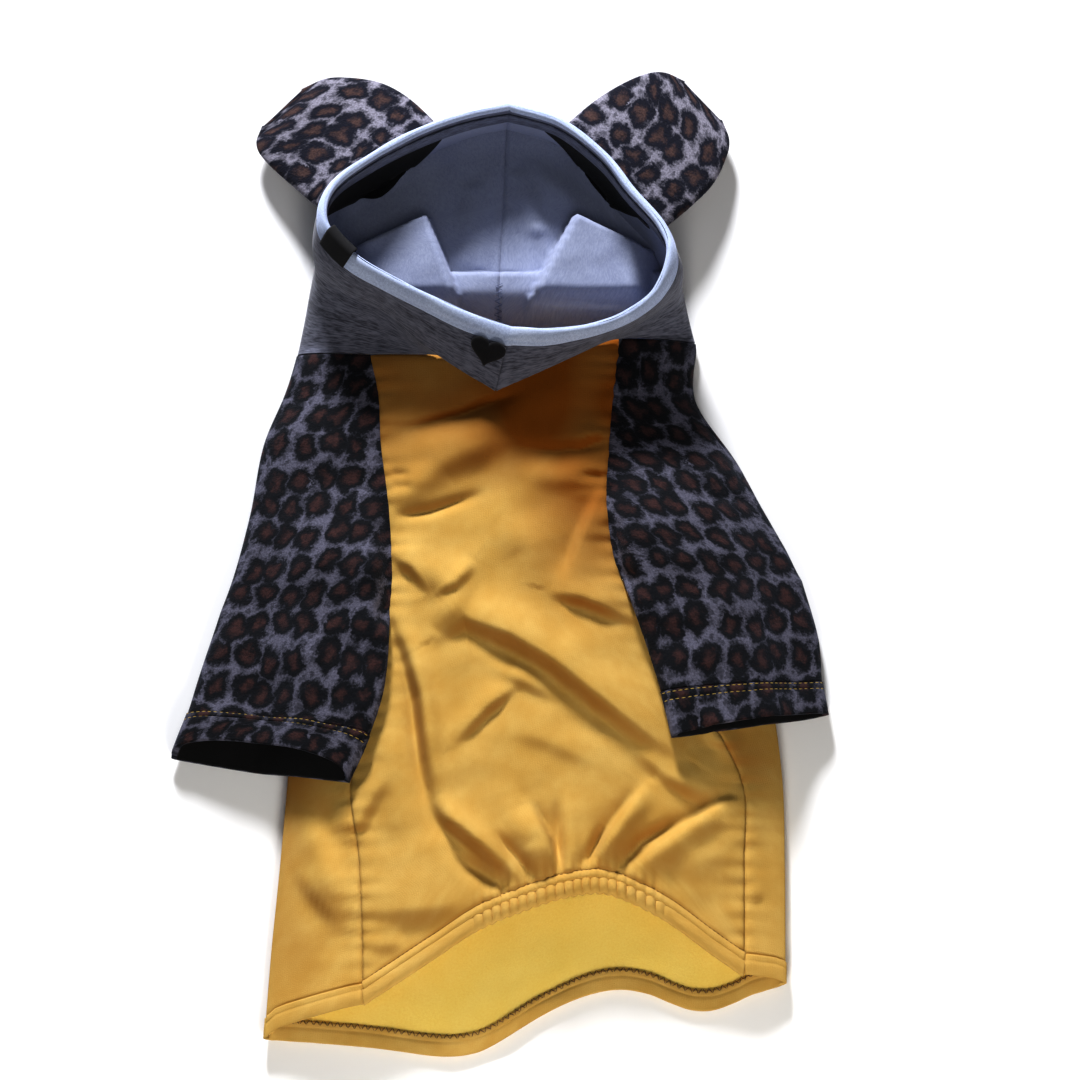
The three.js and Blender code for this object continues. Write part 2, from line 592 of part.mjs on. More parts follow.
// Height of the hood's lying side: the crown pocket is low, the middle strip and two flaps stand up
function hoodFloor(x, y) {
  const px = x / hoodWidth;
  const py = (y - hoodY) / faceLength;
  const toNeck = step(py, -0.5, -0.34);
  const strip = 0.5 * (1 - step(py, -0.3, -0.24)) * toNeck;
  const leftEdge = mix(-0.2, -0.11, clamp((-0.04 - py) / 0.36, 0, 1));
  const leftTop = mix(-0.16, -0.02, clamp((px + 0.42) / 0.2, 0, 1));
  const left = (1 - step(px, leftEdge - 0.03, leftEdge + 0.01)) * (1 - step(py, leftTop - 0.05, leftTop + 0.02));
  const rightEdge = mix(0.21, 0.07, clamp((-0.02 - py) / 0.4, 0, 1));
  const rightTop = mix(-0.01, -0.16, clamp((px - 0.22) / 0.2, 0, 1));
  const right = step(px, rightEdge - 0.01, rightEdge + 0.03) * (1 - step(py, rightTop - 0.05, rightTop + 0.02));
  const side = 1 - step(Math.abs(px), 0.38, 0.5);
  const flaps = Math.max(left, right) * toNeck * side;
  return clothWall / 2 + flapHeight * Math.max(strip, flaps);
}

// Share of each rib that is the standing wall between rim and base
const wallShare = 0.36;

// Point of a hood half: a runs along the rim from chin to crown, s down the rib from rim to neck
function hoodPoint(side, ring, a, s) {
  const value = (key) => read(side.rows, key, a);
  const rim = new THREE.Vector3(
    hoodWidth * value('rimX'), hoodY + faceLength * value('rimY'), hoodHeight * value('rimZ'));
  const base = new THREE.Vector3(
    hoodWidth * value('baseX'), hoodY + faceLength * value('baseY'), hoodHeight * value('baseZ'));
  const neck = ring(value('neck'));
  const lies = value('floor');
  neck.y += hemGap;
  const lapped = step(neck.y - base.y, -10, 4);
  neck.z += (clothWall + layGap) * lapped;
  if (s <= wallShare) {
    const t = s / wallShare;
    const place = rim.clone().lerp(base, t);
    const bulge = Math.sin(Math.PI * t);
    place.z += 3 * bulge * (1 - lies);
    place.x += side.out * 3 * bulge * step(Math.abs(value('rimX')), 0.2, 0.4);
    return place;
  }
  const t = (s - wallShare) / (1 - wallShare);
  const place = base.clone().lerp(neck, t);
  const sag = Math.sin(Math.PI * t) * (1 - t);
  const hanging = mix(base.z, neck.z, 1 - Math.pow(1 - t, 1.6)) - 1.5 * sag * lapped;
  const lying = mix(hoodFloor(place.x, place.y), neck.z, step(t, 0.9, 1));
  const lyingFromBase = mix(base.z, lying, step(t, 0, 0.12));
  place.z = mix(hanging, lyingFromBase, lies);
  return place;
}

const rings = sleeves.map((sleeve) => neckRing(sleeve));

// The two halves meet at the chin seam and at the back seam, where each stops short by half the gap
function hoodHalf(index, a, s) {
  const side = hoodSides[index];
  const place = hoodPoint(side, rings[index], a, s);
  const atSeam = Math.max(1 - step(a, 0, 0.04), step(a, 0.96, 1));
  place.x += side.out * seamGap * 0.75 * atSeam;
  return place;
}

// Share of the rib at which the rim ends and the hood's own cloth begins
function rimShare(index, a) {
  const edge = hoodPoint(hoodSides[index], rings[index], a, 0);
  let low = 0;
  let high = wallShare;
  for (let i = 0; i < 16; i += 1) {
    const s = (low + high) / 2;
    const far = hoodPoint(hoodSides[index], rings[index], a, s).distanceTo(edge) > rimDepth + hemGap;
    if (far) high = s;
    else low = s;
  }
  return high;
}

const hoodSolid = (index) => clothSolid(
  (a, t) => hoodHalf(index, a, mix(rimShare(index, a), 1, t)),
  spaced(20), [0, 0.09, 0.18, 0.25, 0.31, 0.4, 0.5, 0.6, 0.7, 0.8, 0.9, 1], clothWall,
);

// Frame of the rim at a share of its length: its edge, the way down the wall and the way out through it
function rimFrame(index, a) {
  const side = hoodSides[index];
  const at = (share, s) => hoodPoint(side, rings[index], share, s);
  const place = at(a, 0);
  const down = at(a, rimShare(index, a)).sub(place).normalize();
  const along = at(Math.min(1, a + 0.01), 0).sub(at(Math.max(0, a - 0.01), 0));
  const outward = along.cross(down).normalize().multiplyScalar(-side.out);
  return { place, down, outward };
}

const rimSection = [
  { deep: 0, wide: -0.3 },
  { deep: 0, wide: 0.3 },
  { deep: 0.12, wide: 0.5 },
  { deep: 0.88, wide: 0.5 },
  { deep: 1, wide: 0.3 },
  { deep: 1, wide: -0.3 },
  { deep: 0.88, wide: -0.5 },
  { deep: 0.12, wide: -0.5 },
];
const rimPoint = (frame, deep, wide) => {
  return frame.place.clone().addScaledVector(frame.down, deep).addScaledVector(frame.outward, wide);
};
const rimRing = (index, a) => {
  const frame = rimFrame(index, a);
  return rimSection.map((corner) => rimPoint(frame, corner.deep * rimDepth, corner.wide * rimWall));
};
const rimSteps = 20;
const hoodRim = ringSolid([
  ...spaced(rimSteps).map((a) => rimRing(0, a)),
  ...spaced(rimSteps, 1, 0).slice(1, -1).map((a) => rimRing(1, a)),
], { loop: true });

// Folded tab over the left side of the rim
const tabMiddle = 0.435;
const rimLength = spaced(rimSteps).slice(1).reduce((sum, a) => {
  return sum + rimFrame(0, a).place.distanceTo(rimFrame(0, a - 1 / rimSteps).place);
}, 0);
const tabHalf = tabWidth / 2 / rimLength;
const tabInside = 5;
const tabOutside = 8;
const tabLift = rimWall / 2 + layGap / 2 + tabWall / 2;
const tab = clothSolid(
  (u, v) => {
    const frame = rimFrame(0, u);
    const turn = clamp((v - 0.35) / 0.3, 0, 1) * Math.PI;
    const inner = (tabInside * clamp(0.35 - v, 0, 1)) / 0.35;
    const outer = (tabOutside * clamp(v - 0.65, 0, 1)) / 0.35;
    const deep = inner + outer + tabLift * 0.25 - tabLift * 0.9 * Math.sin(turn);
    return rimPoint(frame, deep, -tabLift * Math.cos(turn));
  },
  spaced(3, tabMiddle - tabHalf, tabMiddle + tabHalf), [0, 0.35, 0.43, 0.5, 0.57, 0.65, 1], tabWall,
);

// Ears: a ring of the outer or inner wall at a share of the ear's length
const earSides = 14;
function earRing(index, ear, share, inset) {
  const axis = THREE.MathUtils.degToRad(ear.turn);
  const forth = new THREE.Vector3(Math.cos(axis), Math.sin(axis), 0);
  const across = new THREE.Vector3(-forth.y, forth.x, 0);
  const base = new THREE.Vector3(hoodWidth * ear.baseX, hoodY + faceLength * ear.baseY, 0);
  const far = read(earRows, 'far', share) * earWidth - inset;
  const near = read(earRows, 'near', share) * earWidth - inset;
  const half = (read(earRows, 'thick', share) * earThickness) / 2 - inset;
  const middle = read(earRows, 'middle', share) * earThickness * 0.98;
  const reach = share * earLength - (share > 0 ? inset : 0);
  const drift = ear.lean * share * share * earWidth;
  return Array.from({ length: earSides }, (_, i) => {
    const turn = (i / earSides) * 2 * Math.PI;
    const wide = Math.cos(turn) * (Math.cos(turn) > 0 ? far : near);
    const high = Math.sign(Math.sin(turn)) * Math.pow(Math.abs(Math.sin(turn)), 0.7) * half;
    const place = base.clone().addScaledVector(forth, reach).addScaledVector(across, wide + drift);
    place.z = middle + high;
    return place;
  });
}

// Where a line along the ear's axis meets the hood's wall at the line's height
function wallDistance(index, point, forth) {
  const side = hoodSides[index];
  const outline = spaced(40, 0.45, 1).map((a) => {
    const rimZ = hoodHeight * read(side.rows, 'rimZ', a);
    const baseZ = hoodHeight * read(side.rows, 'baseZ', a);
    const t = clamp((rimZ - point.z) / (rimZ - baseZ), 0, 1);
    return hoodPoint(side, rings[index], a, wallShare * t);
  });
  let best = -Infinity;
  for (let i = 0; i < outline.length - 1; i += 1) {
    const a = outline[i].clone().sub(point);
    const b = outline[i + 1].clone().sub(point);
    const sideA = a.x * forth.y - a.y * forth.x;
    const sideB = b.x * forth.y - b.y * forth.x;
    if (sideA * sideB <= 0 && sideA !== sideB) {
      const t = sideA / (sideA - sideB);
      best = Math.max(best, mix(a.x, b.x, t) * forth.x + mix(a.y, b.y, t) * forth.y);
    }
  }
  return best;
}

// A base ring moved along the ear's axis onto the hood's wall, and out from it by a distance
function seatedRing(index, ear, ring, distance) {
  const axis = THREE.MathUtils.degToRad(ear.turn);
  const forth = new THREE.Vector3(Math.cos(axis), Math.sin(axis), 0);
  return ring.map((point) => {
    const reach = wallDistance(index, point, forth);
    return Number.isFinite(reach) ? point.clone().addScaledVector(forth, reach + distance) : point.clone();
  });
}

const earShares = [0.25, 0.55, 0.8, 0.93, 1];
const earSeat = clothWall / 2 + hemGap + 0.3;
function earSolid(index, ear) {
  const outer = [0, ...earShares].map((share) => earRing(index, ear, share, 0));
  const inner = [0, ...earShares].map((share) => earRing(index, ear, share, fleeceWall));
  outer[0] = seatedRing(index, ear, outer[0], earSeat);
  inner[0] = seatedRing(index, ear, inner[0], earSeat);
  return ringSolid([...inner.slice().reverse(), ...outer]);
}

// The slot through the hood's wall behind an ear, as wide as the ear's hollow
const slotReach = 8;
function slotSolid(index, ear) {
  const ring = earRing(index, ear, 0, fleeceWall);
  return ringSolid([
    seatedRing(index, ear, ring, -slotReach),
    seatedRing(index, ear, ring, slotReach),
  ]);
}

const wasm = await Module();
wasm.setup();
function manifold(geometry) {
  const bare = geometry.clone();
  bare.deleteAttribute('normal');
  bare.deleteAttribute('uv');
  const merged = mergeVertices(bare, 1e-5);
  return new wasm.Manifold(new wasm.Mesh({
    numProp: 3,
    vertProperties: new Float32Array(merged.attributes.position.array),
    triVerts: new Uint32Array(merged.index.array),
  }));
}
function cut(geometry, tool) {
  const mesh = manifold(geometry).subtract(manifold(tool)).getMesh();
  const result = new THREE.BufferGeometry();
  result.setAttribute('position', new THREE.Float32BufferAttribute(mesh.vertProperties, mesh.numProp));
  result.setIndex(new THREE.Uint32BufferAttribute(mesh.triVerts, 1));
  return result;
}

// Small heart-shaped badge on the chin, lying on the left half's outer wall beside the chin seam
const badgePlace = wallShare * 0.52;
const badgeAside = 0.036;
function badgeMesh() {
  const shape = new THREE.Shape();
  shape.moveTo(0, -0.5);
  shape.bezierCurveTo(-0.3, -0.3, -0.5, -0.05, -0.5, 0.18);
  shape.bezierCurveTo(-0.5, 0.5, -0.1, 0.6, 0, 0.28);
  shape.bezierCurveTo(0.1, 0.6, 0.5, 0.5, 0.5, 0.18);
  shape.bezierCurveTo(0.5, -0.05, 0.3, -0.3, 0, -0.5);
  const geometry = new THREE.ExtrudeGeometry(shape, { depth: 1, bevelEnabled: false, curveSegments: 5 });
  geometry.scale(badgeWidth, badgeHeight, badgeWall);
  const at = (a, s) => hoodPoint(hoodSides[0], rings[0], a, s);
  const place = at(badgeAside, badgePlace);
  const up = at(badgeAside, badgePlace - 0.03).sub(at(badgeAside, badgePlace + 0.03)).normalize();
  const right = at(0, badgePlace).sub(at(2 * badgeAside, badgePlace)).normalize();
  const outward = right.clone().cross(up).normalize();
  right.crossVectors(up, outward);
  geometry.applyMatrix4(new THREE.Matrix4().makeBasis(right, up, outward));
  const lift = place.addScaledVector(outward, clothWall / 2 + layGap);
  geometry.translate(lift.x, lift.y, lift.z);
  return mergeVertices(geometry.deleteAttribute('normal').deleteAttribute('uv'), 1e-5);
}

const cloth = {
  mustard: new THREE.MeshStandardMaterial({ color: 0xd39a34, roughness: 0.9, metalness: 0 }),
  heather: new THREE.MeshStandardMaterial({ color: 0x8f8f98, roughness: 0.92, metalness: 0 }),
  leopard: new THREE.MeshStandardMaterial({ color: 0x4b4250, roughness: 0.97, metalness: 0 }),
  satin: new THREE.MeshStandardMaterial({ color: 0x101014, roughness: 0.45, metalness: 0 }),
};

const hoodie = new THREE.Group();
function piece(name, geometry, material) {
  const mesh = new THREE.Mesh(geometry, material);
  mesh.name = name;
  hoodie.add(mesh);
  return mesh;
}

piece('back_panel', backPanel, cloth.mustard);
piece('back_hem', backHem, cloth.mustard);
piece('belly_panel', bellyPanel, cloth.mustard);
piece('belly_hem', bellyHem, cloth.mustard);
for (const sleeve of sleeves) {
  piece(`sleeve_${sleeve.name}`, sleeveSolid(sleeve), cloth.leopard);
  piece(`cuff_${sleeve.name}`, cuffSolid(sleeve), cloth.leopard);
}
hoodSides.forEach((side, index) => {
  piece(`hood_${side.name}`, cut(hoodSolid(index), slotSolid(index, ears[index])), cloth.heather);
});
piece('hood_rim', hoodRim, cloth.heather);
ears.forEach((ear, index) => piece(`ear_${ear.name}`, earSolid(index, ear), cloth.leopard));
piece('label_tab', tab, cloth.satin);
piece('chin_badge', badgeMesh(), cloth.satin);

export default hoodie;
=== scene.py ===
import bisect
import functools
import math

import bmesh
import bpy
from mathutils import Matrix, Vector, noise


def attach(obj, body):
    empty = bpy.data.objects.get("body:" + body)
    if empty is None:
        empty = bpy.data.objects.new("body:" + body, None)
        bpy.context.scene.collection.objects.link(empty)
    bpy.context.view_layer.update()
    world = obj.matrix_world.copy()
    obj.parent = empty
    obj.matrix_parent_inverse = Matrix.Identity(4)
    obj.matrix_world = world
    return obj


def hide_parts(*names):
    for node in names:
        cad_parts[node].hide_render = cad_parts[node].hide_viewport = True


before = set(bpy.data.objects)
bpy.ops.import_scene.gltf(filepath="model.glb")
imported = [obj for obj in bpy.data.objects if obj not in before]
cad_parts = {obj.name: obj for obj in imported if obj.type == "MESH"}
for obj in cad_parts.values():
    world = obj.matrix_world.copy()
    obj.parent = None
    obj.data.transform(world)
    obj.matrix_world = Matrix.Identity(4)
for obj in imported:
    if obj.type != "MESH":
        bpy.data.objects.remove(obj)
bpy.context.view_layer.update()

MM = 0.001         # metres in a millimetre
JOIN_GAP = 2e-5    # gap in metres that joined edges close

# Sizes of the garment, as in the frame
BODY_LENGTH = 356.0
BODY_WIDTH = 256.0
BODY_LOFT = 27.0
FOLD_RADIUS = 4.5
HEM_DEPTH = 10.0
SLEEVE_LENGTH = 216.0
SLEEVE_WIDTH = 88.0
SLEEVE_LOFT = 13.0
SLEEVE_FOLD = 3.2
CUFF_DEPTH = 22.0
HOOD_WIDTH = 172.0
FACE_LENGTH = 114.0
HOOD_HEIGHT = 60.0
FLAP_HEIGHT = 21.0
RIM_DEPTH = 10.0
RIM_WALL = 4.6
EAR_LENGTH = 57.0
EAR_WIDTH = 72.0
EAR_THICKNESS = 12.0
BADGE_WIDTH = 18.0
BADGE_HEIGHT = 15.0
TAB_WIDTH = 17.0

# Cloth walls and clearances
CLOTH = 1.8
HEM = 3.0
FLEECE = 2.2
CUFF = 3.2
LAY_GAP = 0.9
SEAM_GAP = 0.35
EAR_GAP = 0.5

# Places along the garment: neck seam, middle of the hood and end of the armhole as a share of the sleeve
NECK_Y = 0.3 * BODY_LENGTH
HOOD_Y = NECK_Y + 0.615 * FACE_LENGTH
ARMPIT = 0.6


def table(columns, *rows):
    """Rows of named columns."""
    return [dict(zip(columns.split(), row)) for row in rows]


# Body outline: at is a share of the length below the neck seam, the rest shares of width and loft
BODY = table(
    "at seam_l seam_r fold_l fold_r back loft",
    (0.00, -0.259, 0.235, -0.386, 0.372, 0.095, 0.86),
    (0.07, -0.238, 0.224, -0.388, 0.380, 0.075, 0.92),
    (0.14, -0.233, 0.216, -0.389, 0.400, 0.050, 0.96),
    (0.24, -0.216, 0.212, -0.390, 0.440, 0.030, 1.00),
    (0.35, -0.212, 0.245, -0.390, 0.480, 0.020, 1.00),
    (0.49, -0.237, 0.370, -0.394, 0.524, 0.020, 1.00),
    (0.61, -0.286, 0.468, -0.407, 0.546, 0.020, 0.98),
    (0.73, -0.270, 0.474, -0.421, 0.550, 0.020, 0.92),
    (0.86, -0.263, 0.474, -0.438, 0.550, 0.020, 0.78),
    (1.00, -0.265, 0.474, -0.452, 0.548, 0.020, 0.60),
)
NECK_EDGE = table("at down", (0, 0.012), (0.5, 0.014), (1, -0.011))
BELLY_HEM = table(
    "at down",
    (0.00, 0.926), (0.19, 0.861), (0.30, 0.824), (0.45, 0.792), (0.57, 0.775),
    (0.65, 0.775), (0.79, 0.808), (0.92, 0.856), (1.00, 0.884),
)
BACK_HEM = table(
    "at down",
    (0.00, 0.926), (0.14, 0.966), (0.19, 0.972), (0.25, 0.973), (0.35, 0.982), (0.44, 0.995), (0.475, 0.991),
    (0.50, 0.978), (0.55, 0.939), (0.60, 0.911), (0.64, 0.902), (0.675, 0.908), (0.70, 0.920), (0.725, 0.930),
    (0.75, 0.931), (0.775, 0.921), (0.80, 0.907), (0.85, 0.897), (0.90, 0.893), (1.00, 0.884),
)

# Creases of the belly, steep on the right hand of their run: points as shares of width and length,
# the spread of the gentle and the steep side, the rise of the crest and the dip below it, in millimetres
CREASES = [
    ([(-0.118, 0.412), (-0.066, 0.386), (0.028, 0.414), (0.112, 0.451), (0.196, 0.500), (0.282, 0.549),
      (0.352, 0.579)], 13.0, 5.2, 5.6, 2.2),
    ([(-0.215, 0.292), (-0.165, 0.316), (-0.126, 0.352)], 10.0, 3.4, 2.4, 1.3),
    ([(-0.128, 0.354), (-0.090, 0.340), (-0.050, 0.308)], 10.0, 3.4, 2.2, 1.3),
    ([(0.099, 0.350), (0.167, 0.360), (0.260, 0.388)], 11.0, 3.8, 2.8, 1.4),
    ([(0.205, 0.205), (0.159, 0.284), (0.138, 0.340)], 10.0, 3.4, 2.2, 1.4),
    ([(-0.210, 0.365), (-0.168, 0.440), (-0.145, 0.500), (-0.132, 0.580), (-0.108, 0.662)], 5.6, 3.6, 3.6, 2.0),
    ([(-0.120, 0.640), (-0.090, 0.672), (-0.032, 0.706), (0.048, 0.756)], 5.4, 4.0, 4.4, 2.8),
    ([(0.106, 0.750), (0.086, 0.700), (0.050, 0.652)], 8.0, 2.8, 4.4, 3.0),
    ([(0.290, 0.626), (0.235, 0.680), (0.180, 0.742)], 6.0, 3.0, 4.2, 3.0),
    ([(0.480, 0.632), (0.364, 0.686), (0.250, 0.748)], 8.5, 3.0, 4.0, 2.6),
    ([(-0.090, 0.566), (-0.030, 0.518), (0.034, 0.480)], 6.0, 3.0, 1.9, 1.3),
    ([(0.140, 0.150), (0.170, 0.130), (0.205, 0.122)], 6.0, 3.0, 1.2, 0.8),
    ([(-0.275, 0.798), (-0.160, 0.793), (-0.050, 0.785)], 14.0, 8.0, 1.9, 1.0),
    ([(-0.262, 0.850), (-0.180, 0.838)], 8.0, 5.0, 1.2, 0.6),
    ([(0.020, 0.545), (0.100, 0.560), (0.210, 0.598)], 10.0, 6.0, 1.3, 0.7),
    ([(-0.020, 0.455), (0.060, 0.480), (0.120, 0.505)], 7.0, 4.0, 1.4, 0.8),
    ([(0.380, 0.520), (0.430, 0.560), (0.470, 0.570)], 8.0, 4.0, 1.8, 1.0),
    ([(-0.425, 0.660), (-0.385, 0.740), (-0.300, 0.815)], 10.0, 4.5, 3.2, 1.8),
    ([(-0.290, 0.700), (-0.262, 0.655), (-0.215, 0.600)], 9.0, 4.5, 1.8, 1.0),
    ([(0.250, 0.560), (0.330, 0.610), (0.420, 0.640)], 10.0, 4.5, 1.8, 1.0),
]

# Long soft ridges and valleys, raised or sunk alike on both sides: points, spread and rise in millimetres
SWELLS = [
    ([(-0.212, 0.158), (-0.070, 0.132), (0.060, 0.100)], 8.0, 2.6),
    ([(-0.212, 0.128), (-0.073, 0.103), (0.040, 0.070)], 3.2, -1.8),
    ([(-0.212, 0.226), (-0.112, 0.172), (0.040, 0.128)], 8.0, 3.0),
    ([(-0.212, 0.246), (-0.132, 0.238), (-0.025, 0.212)], 3.2, -2.0),
    ([(-0.214, 0.200), (-0.165, 0.203)], 2.4, -1.0),
    ([(-0.214, 0.182), (-0.170, 0.187)], 2.2, -0.8),
    ([(0.028, 0.150), (0.120, 0.154), (0.208, 0.144)], 4.0, -1.3),
    ([(0.010, 0.178), (0.110, 0.190), (0.200, 0.176)], 7.0, 1.6),
    ([(0.150, 0.188), (0.212, 0.190)], 2.6, -1.0),
    ([(-0.050, 0.310), (-0.085, 0.360), (-0.118, 0.408)], 6.5, 2.8),
    ([(0.000, 0.250), (0.060, 0.290), (0.080, 0.350)], 9.0, 1.6),
    ([(-0.187, 0.430), (-0.168, 0.520), (-0.155, 0.600), (-0.120, 0.690)], 4.0, -2.2),
    ([(-0.230, 0.520), (-0.210, 0.620), (-0.180, 0.700)], 9.0, 1.8),
    ([(-0.090, 0.720), (-0.030, 0.748), (0.020, 0.776)], 4.2, -2.6),
    ([(-0.015, 0.690), (0.030, 0.722), (0.070, 0.756)], 3.2, -2.4),
    ([(0.010, 0.640), (0.050, 0.700), (0.075, 0.752)], 6.0, 2.4),
    ([(0.130, 0.640), (0.140, 0.700), (0.142, 0.750)], 5.0, 1.6),
    ([(0.112, 0.640), (0.118, 0.740)], 3.0, -2.2),
    ([(0.204, 0.680), (0.160, 0.742)], 3.0, -2.6),
    ([(0.340, 0.672), (0.270, 0.704), (0.232, 0.742)], 3.2, -2.6),
    ([(0.470, 0.700), (0.330, 0.750)], 8.0, 1.6),
    ([(-0.410, 0.640), (-0.350, 0.715), (-0.300, 0.790)], 7.0, 3.0),
    ([(-0.350, 0.640), (-0.310, 0.720)], 6.0, -1.6),
    ([(0.485, 0.775), (0.530, 0.752)], 3.4, 2.0),
    ([(0.480, 0.795), (0.525, 0.775)], 2.6, -1.2),
    ([(0.480, 0.600), (0.500, 0.700), (0.490, 0.820)], 5.0, 1.2),
]

SLEEVES = [
    {"name": "left", "out": -1, "lay": 1.0, "lip": 13.0, "rows": table(
        "at width rise shift",
        (0.00, 0.40, 0.02, 0.00), (0.19, 0.63, 0.02, 0.00), (0.40, 0.79, 0.03, 0.00), (0.60, 0.94, 0.02, 0.00),
        (0.78, 1.03, 0.09, 0.03), (0.90, 1.01, 0.15, 0.12), (1.00, 0.98, 0.16, 0.23))},
    {"name": "right", "out": 1, "lay": 0.94, "lip": 2.0, "rows": table(
        "at width rise shift",
        (0.00, 0.42, 0.00, 0.00), (0.17, 0.46, 0.05, 0.00), (0.34, 0.75, 0.04, 0.00), (0.52, 0.96, 0.03, 0.00),
        (0.60, 1.00, 0.01, 0.02), (0.75, 0.97, 0.03, 0.14), (0.89, 0.89, 0.10, 0.24), (1.00, 0.86, 0.17, 0.30))},
]

# Hood ribs from chin to crown, shares of the hood's width, face length and height
RIB = "at rim_x rim_y rim_z base_x base_y base_z neck floor"
HOOD = [
    {"name": "left", "out": -1, "rows": table(
        RIB,
        (0.00, 0.036, -0.588, 0.90, -0.010, -0.833, 0.58, 0.0, 0),
        (0.10, -0.086, -0.526, 0.90, -0.130, -0.720, 0.56, 0.1, 0),
        (0.20, -0.208, -0.443, 0.92, -0.237, -0.600, 0.54, 0.2, 0),
        (0.30, -0.318, -0.364, 0.95, -0.335, -0.480, 0.56, 0.3, 0),
        (0.40, -0.420, -0.268, 0.98, -0.450, -0.400, 0.58, 0.4, 0),
        (0.50, -0.500, -0.120, 1.00, -0.530, -0.280, 0.46, 0.5, 0.25),
        (0.60, -0.484, 0.030, 0.92, -0.480, 0.000, 0.12, 0.6, 1),
        (0.72, -0.370, 0.184, 0.80, -0.345, 0.155, 0.05, 0.7, 1),
        (0.84, -0.231, 0.316, 0.67, -0.210, 0.280, 0.04, 0.8, 1),
        (0.93, -0.100, 0.400, 0.57, -0.090, 0.360, 0.04, 0.9, 1),
        (1.00, 0.028, 0.447, 0.52, 0.020, 0.400, 0.04, 1.0, 1))},
    {"name": "right", "out": 1, "rows": table(
        RIB,
        (0.00, 0.036, -0.588, 0.90, -0.010, -0.833, 0.58, 0.0, 0),
        (0.12, 0.161, -0.596, 0.90, 0.118, -0.745, 0.56, 0.1, 0),
        (0.25, 0.295, -0.570, 0.92, 0.249, -0.650, 0.54, 0.22, 0),
        (0.35, 0.385, -0.510, 0.93, 0.370, -0.560, 0.55, 0.32, 0),
        (0.43, 0.452, -0.420, 0.97, 0.455, -0.480, 0.55, 0.41, 0),
        (0.55, 0.487, -0.255, 0.97, 0.525, -0.360, 0.46, 0.5, 0.25),
        (0.65, 0.467, -0.130, 0.90, 0.450, -0.150, 0.12, 0.6, 1),
        (0.75, 0.379, 0.040, 0.80, 0.355, 0.010, 0.05, 0.7, 1),
        (0.85, 0.295, 0.215, 0.70, 0.275, 0.180, 0.04, 0.8, 1),
        (0.93, 0.176, 0.370, 0.58, 0.165, 0.330, 0.04, 0.9, 1),
        (1.00, 0.028, 0.447, 0.52, 0.020, 0.400, 0.04, 1.0, 1))},
]
# Share of a rib that is the hood's standing wall, and the place of the front middle on the neck edge
WALL_SHARE = 0.36
MIDDLE_SHARE = 0.52

# Ears: root on the hood, turn of the axis in degrees and how far the tip leans aside
EARS = [
    {"name": "left", "base_x": -0.353, "base_y": 0.19, "turn": 134, "lean": 0.17},
    {"name": "right", "base_x": 0.35, "base_y": 0.165, "turn": 43, "lean": 0.0},
]

# Half widths of an ear on both sides of its axis, height of its middle and thickness, as shares
EAR = table(
    "at near far middle thick",
    (0.00, 0.50, 0.50, 1.75, 1.00), (0.25, 0.51, 0.50, 1.45, 1.00), (0.55, 0.49, 0.47, 1.10, 0.92),
    (0.80, 0.41, 0.41, 0.85, 0.80), (0.93, 0.33, 0.33, 0.75, 0.66), (1.00, 0.20, 0.20, 0.70, 0.50),
)


def clamp(value, low=0.0, high=1.0):
    """The value kept between two limits."""
    return max(low, min(high, value))


def mix(a, b, t):
    """Value between a and b at a share t."""
    return a + (b - a) * t


def step(value, low, high):
    """Smooth step from 0 at low to 1 at high."""
    t = clamp((value - low) / (high - low))
    return t * t * (3 - 2 * t)


def hump(value, rise_from, rise_to, fall_from, fall_to):
    """Smooth rise from 0 to 1 and fall back to 0."""
    return step(value, rise_from, rise_to) * (1 - step(value, fall_from, fall_to))


def bell(value, width):
    """Bell curve of height 1."""
    return math.exp(-((value / width) ** 2))


def squared_off(value, power):
    """A sine or cosine drawn out to a squarer section, with its sign kept."""
    return math.copysign(abs(value) ** power, value)


def rough(x, y, size, seed):
    """Smooth noise between about -1 and 1, with bumps of a size in millimetres."""
    return noise.noise(Vector((x / size, y / size, seed)))


def running_lengths(points):
    """Length along a run of points up to each of them."""
    lengths = [0.0]
    for before, after in zip(points, points[1:]):
        lengths.append(lengths[-1] + (after - before).length)
    return lengths


def stretch_at(lengths, goal):
    """Stretch between two running lengths in which a goal lies, and the share of it that is passed."""
    i = bisect.bisect_left(lengths, goal, 1, len(lengths) - 1) - 1
    return i, (goal - lengths[i]) / max(1e-6, lengths[i + 1] - lengths[i])


READ_BEFORE = {}


def read(rows, key, at):
    """Smooth value of one column of a table between its rows, kept for the next time it is asked."""
    asked = (id(rows), key, at)
    if asked not in READ_BEFORE:
        READ_BEFORE[asked] = read_between(rows, key, at)
    return READ_BEFORE[asked]


def read_between(rows, key, at):
    """Smooth value of one column of a table between its rows."""
    last = len(rows) - 1
    if at <= rows[0]["at"]:
        return rows[0][key]
    if at >= rows[last]["at"]:
        return rows[last][key]
    i = 0
    while rows[i + 1]["at"] <= at:
        i += 1

    def slope(j):
        before = rows[max(0, j - 1)]
        after = rows[min(last, j + 1)]
        return (after[key] - before[key]) / (after["at"] - before["at"])

    span = rows[i + 1]["at"] - rows[i]["at"]
    t = (at - rows[i]["at"]) / span
    rise = rows[i + 1][key] - rows[i][key]
    bend = (1 - t) * (slope(i) * span - rise) - t * (slope(i + 1) * span - rise)
    return rows[i][key] + t * rise + t * (1 - t) * bend


def share_down(y):
    """Share of the body's length that lies between the neck seam and y."""
    return (NECK_Y - y) / BODY_LENGTH


def down_to(share):
    """Place along the body at a share of its length below the neck seam."""
    return NECK_Y - share * BODY_LENGTH


def seam_x(out, y):
    """Side seam of the belly panel, on the left for out below zero."""
    return BODY_WIDTH * read(BODY, "seam_l" if out < 0 else "seam_r", share_down(y))


